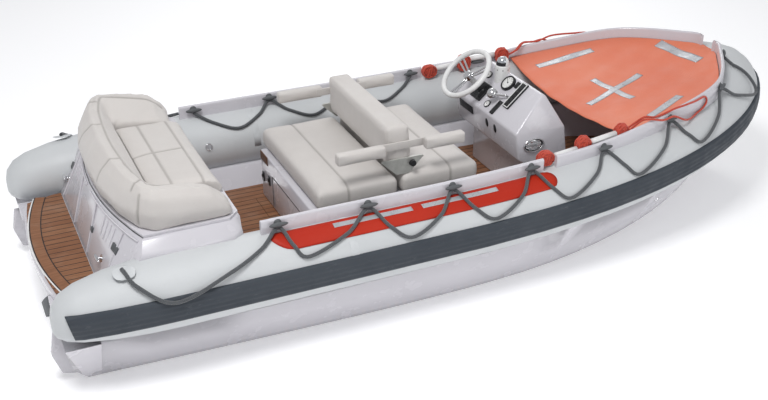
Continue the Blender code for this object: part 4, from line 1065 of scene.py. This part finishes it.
def swollen(obj, voxel, most, soften):
    """Round a closed mesh off, blow it up as cloth, no point moving more than most, and leave it smooth."""
    remesh = obj.modifiers.new("even", "REMESH")
    remesh.mode = "VOXEL"
    remesh.voxel_size = voxel
    soft = obj.modifiers.new("soft", "SMOOTH")
    soft.factor = 0.5
    soft.iterations = soften
    depsgraph = bpy.context.evaluated_depsgraph_get()
    obj.data = bpy.data.meshes.new_from_object(obj.evaluated_get(depsgraph))
    obj.modifiers.clear()
    start = [vert.co - vert.normal * cover_slack for vert in obj.data.vertices]
    for vert, place in zip(obj.data.vertices, start):
        vert.co = place
    cloth = obj.modifiers.new("cloth", "CLOTH")
    settings = cloth.settings
    settings.quality = 4
    settings.use_pressure = True
    settings.uniform_pressure_force = cloth_pressure
    settings.tension_stiffness = 18
    settings.compression_stiffness = 18
    settings.shear_stiffness = 8
    settings.bending_stiffness = 2
    settings.effector_weights.gravity = 0.0
    cloth.collision_settings.use_collision = False
    cloth.point_cache.frame_start = 1
    cloth.point_cache.frame_end = cloth_frames
    for now in range(1, cloth_frames + 1):
        bpy.context.scene.frame_set(now)
    depsgraph = bpy.context.evaluated_depsgraph_get()
    blown = bpy.data.meshes.new_from_object(obj.evaluated_get(depsgraph))
    for vert, before in zip(blown.vertices, start):
        moved = vert.co - before
        if moved.length > most:
            vert.co = before + moved.normalized() * most
    obj.modifiers.clear()
    obj.data = blown
    bpy.context.scene.frame_set(1)
    smoother = obj.modifiers.new("finer", "SUBSURF")
    smoother.levels = smoother.render_levels = 1
    depsgraph = bpy.context.evaluated_depsgraph_get()
    obj.data = bpy.data.meshes.new_from_object(obj.evaluated_get(depsgraph))
    obj.modifiers.clear()
    obj.data.shade_smooth()
    return obj


def sewn(obj, lines, width=0.010, depth=0.0036):
    """Draw the cover in along seams that run close to its surface, and lay a thread in each."""
    tree = BVHTree.FromObject(obj, bpy.context.evaluated_depsgraph_get())
    stitches = []
    for line in lines:
        stitches.append([tree.find_nearest(point)[:2] for point in smooth_route(line, 0.004)])
    near = KDTree(sum(len(stitch) for stitch in stitches))
    for k, (place, normal) in enumerate(point for stitch in stitches for point in stitch):
        near.insert(place, k)
    near.balance()
    seam_shade_and_puckers, normals = [], [vert.normal.copy() for vert in obj.data.vertices]
    for vert, normal in zip(obj.data.vertices, normals):
        pull = math.exp(-(near.find(vert.co)[2] / width) ** 2)
        vert.co -= normal * pull * depth
        seam_shade_and_puckers.append(pull ** 2)
    # the seam mask: painted shade along the seams in the upholstery, and its puckers
    obj.data.attributes.new("seam", "FLOAT", "POINT").data.foreach_set("value", seam_shade_and_puckers)
    bm = bmesh.new()
    for stitch in stitches:
        add_tube(bm, [place - normal * (depth - 0.0006) for place, normal in stitch], 0.0015, 6)
    return piece(obj.name + "_thread", bm, "thread", obj["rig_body"], smooth=60)


def cushion(node, voxel, lines, most=0.011, soften=6):
    """A node's own solid made soft: remeshed by voxels, blown up, covered and sewn."""
    obj = dressed(node, smooth=60)
    swollen(obj, voxel, most, soften)
    obj.data.materials.clear()
    obj.data.materials.append(finishes["upholstery"])
    if lines:
        sewn(obj, lines)
    return obj


def mirrored(line):
    """A line from its starboard end through its middle point to the port end."""
    return [(x, -y, z) for x, y, z in line[::-1]] + [p for p in line if abs(p[1]) > 0.001]


sofa_inner = [                # the bolster's inner edge, from the middle to the arm's end
    (-1.995, 0.0, 0.970), (-1.986, 0.240, 0.970), (-1.965, 0.450, 0.973), (-1.930, 0.600, 0.974),
    (-1.885, 0.628, 0.966), (-1.750, 0.620, 0.942), (-1.620, 0.612, 0.910), (-1.560, 0.606, 0.855),
]
sofa_cross_seams = [          # on each side: over the back beside its middle, at its corner, and down it
    [(-2.128, 0.255, 0.870), (-2.086, 0.248, 0.955), (-2.046, 0.242, 1.000), (-1.986, 0.240, 0.970)],
    [(-2.020, 0.590, 0.955), (-1.985, 0.570, 1.003), (-1.945, 0.545, 0.973)],
    [(-2.015, 0.655, 0.780), (-2.000, 0.660, 0.860), (-1.990, 0.655, 0.950)],
]
sofa_seams = [mirrored(sofa_inner)] + [on_side(seam, side) for side in (-1, 1) for seam in sofa_cross_seams]
seat_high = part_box("sofa_seat")[1].z
sofa_seat_seams = [
    [(-1.893, 0, seat_high), (-1.600, 0, seat_high)],
    [(-1.765, -0.440, seat_high), (-1.765, 0.440, seat_high)],
    [(-1.597, -0.444, seat_high), (-1.597, 0.444, seat_high)],
]
bench_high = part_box("bench_cushion_aft")[1].z
bench_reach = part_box("bench_cushion_aft")[1].y


def over_bench(x):
    """A seam across the bench cushion's top and down both ends."""
    ends = [(x, bench_reach, bench_high - 0.090), (x, bench_reach, bench_high - 0.030),
            (x, bench_reach - 0.030, bench_high)]
    return [(px, -py, pz) for px, py, pz in ends] + ends[::-1]


cushion("sofa_back", 0.014, sofa_seams)
cushion("sofa_seat", 0.012, sofa_seat_seams)
cushion("bench_cushion_aft", 0.012, [over_bench(-0.787)], 0.012, 22)
cushion("bench_cushion_fore", 0.012, [over_bench(-0.140)], 0.012, 22)
cushion("backrest", 0.011, [], 0.005, 8)
arm_reach = {"aft": (-0.864, -0.560), "fore": (-0.318, -0.058)}
for side_name, side in sides.items():
    for arm, (low_x, high_x) in arm_reach.items():
        node = "armrest_" + arm + "_" + side_name
        low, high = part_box(node)
        bm = bmesh.new()
        middle = (low + high) / 2
        middle.x = (low_x + high_x) / 2
        add_block(bm, middle, (high_x - low_x, high.y - low.y, high.z - low.z), None, 0.012)
        arm_pad = piece(node + "_surface", bm, "upholstery", "backrest_unit", [node], 60)
        swollen(arm_pad, 0.008, 0.008, 4)
    bm = bmesh.new()
    add_block(bm, Vector((-0.440, side * 0.4615, 0.842)), (0.330, 0.010, 0.046), None, 0.002)
    piece("arm_bar_" + side_name, bm, "upholstery", "backrest_unit", smooth=40)
    rounded(dressed("backrest_bracket_" + side_name), 0.002)
rounded(dressed("bench_base"), 0.004)

bm = bmesh.new()              # the knobs that clamp the backrest
for side in (-1, 1):
    start = Vector((-0.385, side * 0.4675, 0.728))
    add_drum(bm, start + Vector((0, side * 0.006, 0)), (0, side, 0), 0.010, 0.012)
    add_drum(bm, start + Vector((0, side * 0.020, 0)), (0, side, 0), 0.021, 0.018, 0.018)
piece("backrest_knobs", bm, "black_plastic", smooth=40)
aft_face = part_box("bench_base")[0].x
bm = bmesh.new()
add_block(bm, Vector((aft_face - 0.002, 0.385, 0.498)), (0.006, 0.130, 0.056), None, 0.002)
piece("bench_teak_inset", bm, "teak_margin", smooth=40, slot="teak")
bm = bmesh.new()
for y, z in ((0.415, 0.355), (0.300, 0.375)):
    add_block(bm, Vector((aft_face - 0.003, y, z)), (0.008, 0.030, 0.062), None, 0.003)
    add_ball(bm, Vector((aft_face - 0.009, y, z + 0.008)), (0.006, 0.010, 0.014))
piece("bench_catches", bm, "black_plastic", smooth=40)
# painted shade: thin black strips for the shade in the gaps round the bench's panel
bm = bmesh.new()
add_block(bm, Vector((aft_face - 0.0005, -0.090, 0.428)), (0.002, 0.660, 0.004))
add_block(bm, Vector((aft_face - 0.0005, 0.240, 0.325)), (0.002, 0.004, 0.206))
piece("bench_panel_gap_shade", bm, "jet_black", smooth=40)

# Console and helm

dressed("console")
dash_low = Vector((0.350, 0, 0.725))
dash_high = Vector((0.573, 0, 0.926))
dash_up = (dash_high - dash_low).normalized()
dash_out = Vector((-dash_up.z, 0, dash_up.x))
dash_turn = Matrix((Vector((0, -1, 0)), dash_up, dash_out)).transposed().to_4x4()
wheel_centre_y, wheel_centre_up, wheel_centre_out = 0.268, 0.116, 0.115
wheel_radius, rim_radius = 0.177, 0.0175
hub_drop = 0.028
spoke_start = 40


def on_dash(y, up, out=0.0):
    """A point on the sloping dash, up from its lower edge and out from its face."""
    return dash_low + dash_up * up + dash_out * out + Vector((0, y, 0))


wheel_centre = on_dash(wheel_centre_y, wheel_centre_up, wheel_centre_out)
bm = bmesh.new()
add_ring(bm, wheel_centre, dash_out, wheel_radius, rim_radius, 96, 20)
piece("wheel_rim", bm, "white_plastic", "wheel", ["steering_wheel"], 60)
bm = bmesh.new()
for spoke in range(3):
    turn = math.radians(spoke_start + 120 * spoke)
    reach = Vector((0, -1, 0)) * math.cos(turn) + dash_up * math.sin(turn)
    beside = reach.cross(dash_out)
    for half in (-1, 1):
        foot = wheel_centre - dash_out * hub_drop + reach * 0.020 + beside * half * 0.010
        bend = wheel_centre - dash_out * (hub_drop - 0.004) + reach * 0.070 + beside * half * 0.012
        tip = wheel_centre + reach * (wheel_radius - 0.004) + beside * half * 0.017
        add_tube(bm, smooth_route([foot, bend, tip], 0.008), 0.0062, 14)
add_drum(bm, wheel_centre - dash_out * (hub_drop - 0.004), dash_out, 0.034, 0.030, 0.030, 40)
add_ball(bm, wheel_centre - dash_out * (hub_drop - 0.019), (0.029, 0.029, 0.008), facing(dash_out))
piece("wheel_spokes", bm, "chrome", "wheel", smooth=50)
rounded(dressed("steering_column"), 0.002)


def dash_blocks(name, finish, rows, **settings):
    """Rounded blocks on the dash: where across it, up it and out of it, size, and rounding."""
    bm = bmesh.new()
    for y, up, out, size, round_by in rows:
        add_block(bm, on_dash(y, up, out), size, dash_turn, round_by)
    return piece(name, bm, finish, smooth=40, **settings)


dash_blocks("display_case", "black_plastic", [(0.169, 0.097, 0.0065, (0.122, 0.126, 0.012), 0.004)],
            replaces=["dash_panel"])
dash_blocks("display_screen", "screen", [(0.169, 0.101, 0.0130, (0.104, 0.100, 0.0016), 0.0006)],
            slot="black_plastic")


def instrument(name, y, up, radius, height, replaces=()):
    """A dial: a black bezel, a pale face under it, marks round it, a hand and a hub."""
    bm = bmesh.new()
    place = on_dash(y, up)
    add_drum(bm, place + dash_out * height / 2, dash_out, radius * 0.98, height, radius * 0.90, 48)
    add_ring(bm, place + dash_out * height, dash_out, radius * 0.87, radius * 0.11, 64, 12)
    for k in range(11):
        turn = math.radians(-135 + 27 * k)
        reach = dash_up * math.cos(turn) + Vector((0, -1, 0)) * math.sin(turn)
        mark = place + reach * radius * 0.62 + dash_out * (height + 0.0014)
        add_block(bm, mark, (radius * 0.035, radius * 0.16, 0.0008), facing(dash_out, reach.cross(dash_out)))
    hand = dash_up * 0.6 + Vector((0, 0.8, 0))
    add_block(bm, place + hand * radius * 0.25 + dash_out * (height + 0.0016),
              (radius * 0.05, radius * 0.70, 0.0010), facing(dash_out, hand.cross(dash_out)))
    add_drum(bm, place + dash_out * (height + 0.001), dash_out, radius * 0.12, 0.004, radius * 0.09, 20)
    piece(name + "_bezel", bm, "black_plastic", "boat", replaces, 45)
    bm = bmesh.new()
    add_drum(bm, place + dash_out * (height + 0.0002), dash_out, radius * 0.80, 0.0014, None, 48)
    piece(name + "_face", bm, "dial_face", smooth=40)


instrument("gauge", 0.003, 0.236, 0.054, 0.0150, ["gauge"])
instrument("gauge_high", 0.224, 0.212, 0.026, 0.0060)
instrument("gauge_low", 0.027, 0.052, 0.026, 0.0060)

tray_y, panel_y, switch_y = -0.138, -0.068, -0.076
panel_keys = [(panel_y, 0.031 + 0.024 * k, 0.0095, (0.024, 0.018, 0.004), 0.0015) for k in range(4)]
dash_blocks("switch_tray_case", "black_plastic", [
    (tray_y, 0.197, 0.0070, (0.062, 0.198, 0.014), 0.004),
    (panel_y, 0.067, 0.0045, (0.036, 0.104, 0.009), 0.003),
    *panel_keys,
    (switch_y, 0.258, 0.0045, (0.036, 0.046, 0.009), 0.003),
    (switch_y, 0.258, 0.0100, (0.022, 0.032, 0.004), 0.0015),
], replaces=["switch_tray"])
tray_sides = [(y, 0.197, 0.0150, (0.006, 0.190, 0.003), 0.001) for y in (-0.112, -0.164)]
tray_ends = [(tray_y, up, 0.0150, (0.052, 0.006, 0.003), 0.001) for up in (0.104, 0.290)]
dash_blocks("switch_tray_trim", "white_plastic", tray_sides + tray_ends)
tray_keys = [(tray_y, 0.125 + 0.030 * k, 0.0155, (0.028, 0.020, 0.004), 0.002) for k in range(5)]
dash_blocks("switch_tray_keys", "jet_black", tray_keys, slot="black_plastic")

lever_foot = on_dash(-0.088, 0.160)
lever_knob = on_dash(-0.014, 0.115, 0.060)
bm = bmesh.new()
add_drum(bm, lever_foot + dash_out * 0.004, dash_out, 0.0138, 0.008, 0.012, 32)
lever_bend = lever_foot.lerp(lever_knob, 0.30) + dash_out * 0.014
lever_route = [lever_foot + dash_out * 0.004, lever_foot + dash_out * 0.027, lever_bend, lever_knob]
add_tube(bm, smooth_route(lever_route, 0.006), 0.0075, 16)
add_ball(bm, lever_knob, (0.035, 0.035, 0.035))
piece("throttle_chrome", bm, "chrome", "boat", ["throttle_lever"], 50)

pod_low, pod_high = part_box("compass_pod")
pod_centre = (pod_low + pod_high) / 2
pod_radius = (pod_high.y - pod_low.y) / 2
pod_rim_z = 0.965


def over_pod(height):
    """A point on the compass pod's axis."""
    return Vector((pod_centre.x, pod_centre.y, height))


bm = bmesh.new()
pod_height = pod_rim_z - pod_low.z
add_drum(bm, over_pod(pod_rim_z - pod_height / 2), up_axis, pod_radius * 0.98, pod_height, None, 56)
add_drum(bm, over_pod(pod_rim_z + 0.003), up_axis, pod_radius * 0.98, 0.007, pod_radius * 0.90, 56)
piece("compass_body", bm, "white_plastic", "boat", ["compass_pod"], 40)
bm = bmesh.new()
add_drum(bm, over_pod(pod_rim_z + 0.017), up_axis, pod_radius * 0.86, 0.022, pod_radius * 0.80, 56)
for k in range(8):            # screw heads round the rim
    turn = math.radians(45 * k + 20)
    reach = Vector((math.cos(turn), math.sin(turn), 0))
    add_drum(bm, over_pod(pod_rim_z - 0.020) + reach * pod_radius * 0.975, reach, 0.0035, 0.0025, None, 12)
piece("compass_band", bm, "black_plastic", smooth=40)
bm = bmesh.new()
add_ball(bm, over_pod(pod_rim_z + 0.025), (pod_radius * 0.76, pod_radius * 0.76, 0.036))
piece("compass_dome", bm, "clear_dome", slot="chrome", smooth=60)
hood = bmesh.new()            # a white hood over the dome's fore half
add_ball(hood, over_pod(pod_rim_z + 0.005), (pod_radius * 0.93, pod_radius * 0.93, 0.058), None, 48)
hood_cuts = [                 # a point on each cut, and the side that it takes away
    (over_pod(pod_rim_z + 0.0065), (0, 0, -1)),
    (over_pod(0.98) + Vector((0.004, 0, 0)), (-1, 0.10, 0.28)),
]
for plane_co, plane_no in hood_cuts:
    bmesh.ops.bisect_plane(
        hood, geom=hood.verts[:] + hood.edges[:] + hood.faces[:], plane_co=plane_co, plane_no=plane_no,
        clear_outer=True)
walled(piece("compass_hood", hood, "white_plastic", smooth=60), 0.004, -1.0)

vent_low, vent_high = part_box("console_vent")
vent_centre = (vent_low + vent_high) / 2
vent_long, vent_tall = (vent_high.x - vent_low.x) / 2, (vent_high.z - vent_low.z) / 2
bm = bmesh.new()
vent_face = Vector((vent_centre.x, vent_high.y, vent_centre.z))
add_ball(bm, vent_face + Vector((0, 0.002, 0)), (vent_long * 0.80, 0.014, vent_tall * 0.78))
for k in range(-3, 4):
    drop = 1 - (k / 4.2) ** 2
    add_block(bm, vent_centre + Vector((0, -0.0035, k * vent_tall * 0.20)),
              (vent_long * 1.36 * math.sqrt(drop), 0.006, 0.0028), None, 0.0008)
piece("vent_chrome", bm, "chrome", "boat", ["console_vent"], 50)
bm = bmesh.new()
add_ring(bm, Vector((0, 0, 0)), (0, 1, 0), 0.90, 0.075, 72, 14)
for vert in bm.verts:
    vert.co = Vector((vent_centre.x + vert.co.x * vent_long, vent_centre.y + vert.co.y * 0.065,
                      vent_centre.z + vert.co.z * vent_tall))
piece("vent_rim", bm, "chrome", smooth=50)
# painted shade: a black oval behind the louvres for the shade inside the vent
bm = bmesh.new()
add_ball(bm, vent_face - Vector((0, 0.001, 0)), (vent_long * 0.90, 0.004, vent_tall * 0.90))
piece("vent_recess_shade", bm, "jet_black", smooth=60)

face_foot = Vector((0.381, 0, 0.542))
face_up = (dash_low - face_foot).normalized()
face_out = Vector((-face_up.z, 0, face_up.x))
face_turn = Matrix((Vector((0, -1, 0)), face_up, face_out)).transposed().to_4x4()


def on_face(y, up, out=0.0):
    """A point on the console's lower aft face, up from its foot."""
    return face_foot + face_up * up + face_out * out + Vector((0, y, 0))


bm = bmesh.new()
add_block(bm, on_face(0.245, 0.128, 0.003), (0.175, 0.052, 0.006), face_turn, 0.002)
for y in (-0.024, -0.128):
    add_ball(bm, on_face(y, 0.118, 0.001), (0.017, 0.030, 0.006), face_turn)
piece("console_plates", bm, "black_plastic", smooth=40)

# Bow cover: a sheet of coated cloth, stretched between the fore rails, with reflective tapes sewn on

cover_aft_x = 0.955
cover_bow = 0.075
cover_drop = 0.014
cover_sag = 0.050
cover_edge_clear = rail_thickness / 2 + 0.0040
cover_columns = 64
cover_frames = level_frames([tuple(point) for point in smooth_route(rail_points(1), 0.02)], 1)
cover_edge = [                # the cloth's port edge, from aft to the bow
    place - outward * cover_edge_clear
    for place, outward, up, radius in cover_frames if place.x >= cover_aft_x]


def cover_point(edge, across):
    """A point of the cloth, across it from -1 at starboard to 1 at port: sagging, with soft folds."""
    rounding = 1 - across ** 2
    x = edge.x - cover_bow * math.exp(-((edge.x - cover_aft_x) / 0.05)) * rounding
    y = across * max(edge.y, 0.02)
    sag = cover_drop + cover_sag * rounding * min(1.0, edge.y / 0.5)
    fold = 0.0030 * math.sin(16 * x + 9 * y) * math.sin(11 * y + 2.0)
    fold += 0.0022 * math.sin(31 * y - 12 * x)
    return Vector((x, y, edge.z - sag + fold * min(1.0, 2.0 * rounding)))


bm = bmesh.new()
bmesh.ops.create_grid(bm, x_segments=cover_columns, y_segments=len(cover_edge) - 1, size=1.0)
for vert in bm.verts:
    row = round((vert.co.y + 1) / 2 * (len(cover_edge) - 1))
    vert.co = cover_point(cover_edge[row], vert.co.x)
cover = piece("bow_cover_cloth", bm, "orange_fabric", "boat", ["bow_cover"], 60)
if cover.data.polygons[0].normal.z < 0:
    cover.data.flip_normals()
cover_top = BVHTree.FromObject(cover, bpy.context.evaluated_depsgraph_get())
walled(cover, 0.003, 0.0)


def cover_tape(name, start, end, width):
    """A tape on the cover from one place in plan to another, laid down on the cloth."""
    start, end = Vector((*start, 0)), Vector((*end, 0))
    along = (end - start).normalized()
    across = Vector((-along.y, along.x, 0))
    bm = bmesh.new()
    bmesh.ops.create_grid(bm, x_segments=40, y_segments=6, size=1.0)
    for vert in bm.verts:
        place = start.lerp(end, (vert.co.x + 1) / 2) + across * vert.co.y * width / 2
        hit = cover_top.ray_cast(Vector((place.x, place.y, 2.0)), Vector((0, 0, -1)))[0]
        vert.co = (hit or Vector((place.x, place.y, 0.8))) + Vector((0, 0, 0.0024))
    obj = piece(name, bm, "tape", smooth=60)
    if obj.data.polygons[0].normal.z < 0:
        obj.data.flip_normals()
    return walled(obj, 0.0007)


cover_tapes = {               # start and end in plan, width
    "port": ((1.060, 0.520), (1.500, 0.500), 0.060),
    "fore": ((1.900, 0.290), (1.960, -0.090), 0.070),
    "cross_1": ((1.040, -0.150), (1.560, 0.020), 0.050),
    "cross_2": ((1.270, 0.150), (1.310, -0.250), 0.050),
    "starboard": ((1.215, -0.560), (1.540, -0.430), 0.055),
}
tapes = [cover_tape("cover_tape_" + name, *row) for name, row in cover_tapes.items()]

# Water jet, engine and stern fins

jet_nodes = ("jet_housing", "jet_nozzle", "reverse_bucket")
for node in ("engine_block", *jet_nodes, "stern_fin_port", "stern_fin_starboard"):
    dressed(node)

# Lights: soft boxes round the boat, a pale floor and a white surround


def soft_light(name, place, target, size, power):
    data = bpy.data.lights.new(name, "AREA")
    data.shape = "DISK"
    data.size = size
    data.energy = power
    light = bpy.data.objects.new(name, data)
    light.location = place
    light.rotation_euler = (Vector(target) - Vector(place)).to_track_quat("-Z", "Y").to_euler()
    bpy.context.scene.collection.objects.link(light)


middle = (0, 0, 0.4)
soft_light("key", (-3.0, -2.5, 7.0), middle, 2.6, 330)
soft_light("fill", (3.5, -6.5, 3.0), middle, 4.0, 80)
soft_light("back", (2.5, 5.5, 4.5), middle, 4.0, 100)

surround = bpy.data.worlds.new("surround")
surround.use_nodes = True
surround_inputs = surround.node_tree.nodes["Background"].inputs
surround_inputs["Color"].default_value = (0.96, 0.97, 1.0, 1)
surround_inputs["Strength"].default_value = 0.48
bpy.context.scene.world = surround
bpy.context.scene.view_settings.view_transform = "Standard"

bm = bmesh.new()
bmesh.ops.create_grid(bm, x_segments=1, y_segments=1, size=30)
floor_mesh = bpy.data.meshes.new("floor")
bm.to_mesh(floor_mesh)
bm.free()
floor = bpy.data.objects.new("floor", floor_mesh)
bpy.context.scene.collection.objects.link(floor)
floor_paint = bpy.data.materials.new("floor")
floor_paint.use_nodes = True
floor_shader = floor_paint.node_tree.nodes["Principled BSDF"]
floor_shader.inputs["Base Color"].default_value = (0.92, 0.92, 0.93, 1)
floor_shader.inputs["Roughness"].default_value = 0.7
floor_shader.inputs["Emission Color"].default_value = (1, 1, 1, 1)
floor_shader.inputs["Emission Strength"].default_value = 0.22
floor_mesh.materials.append(floor_paint)
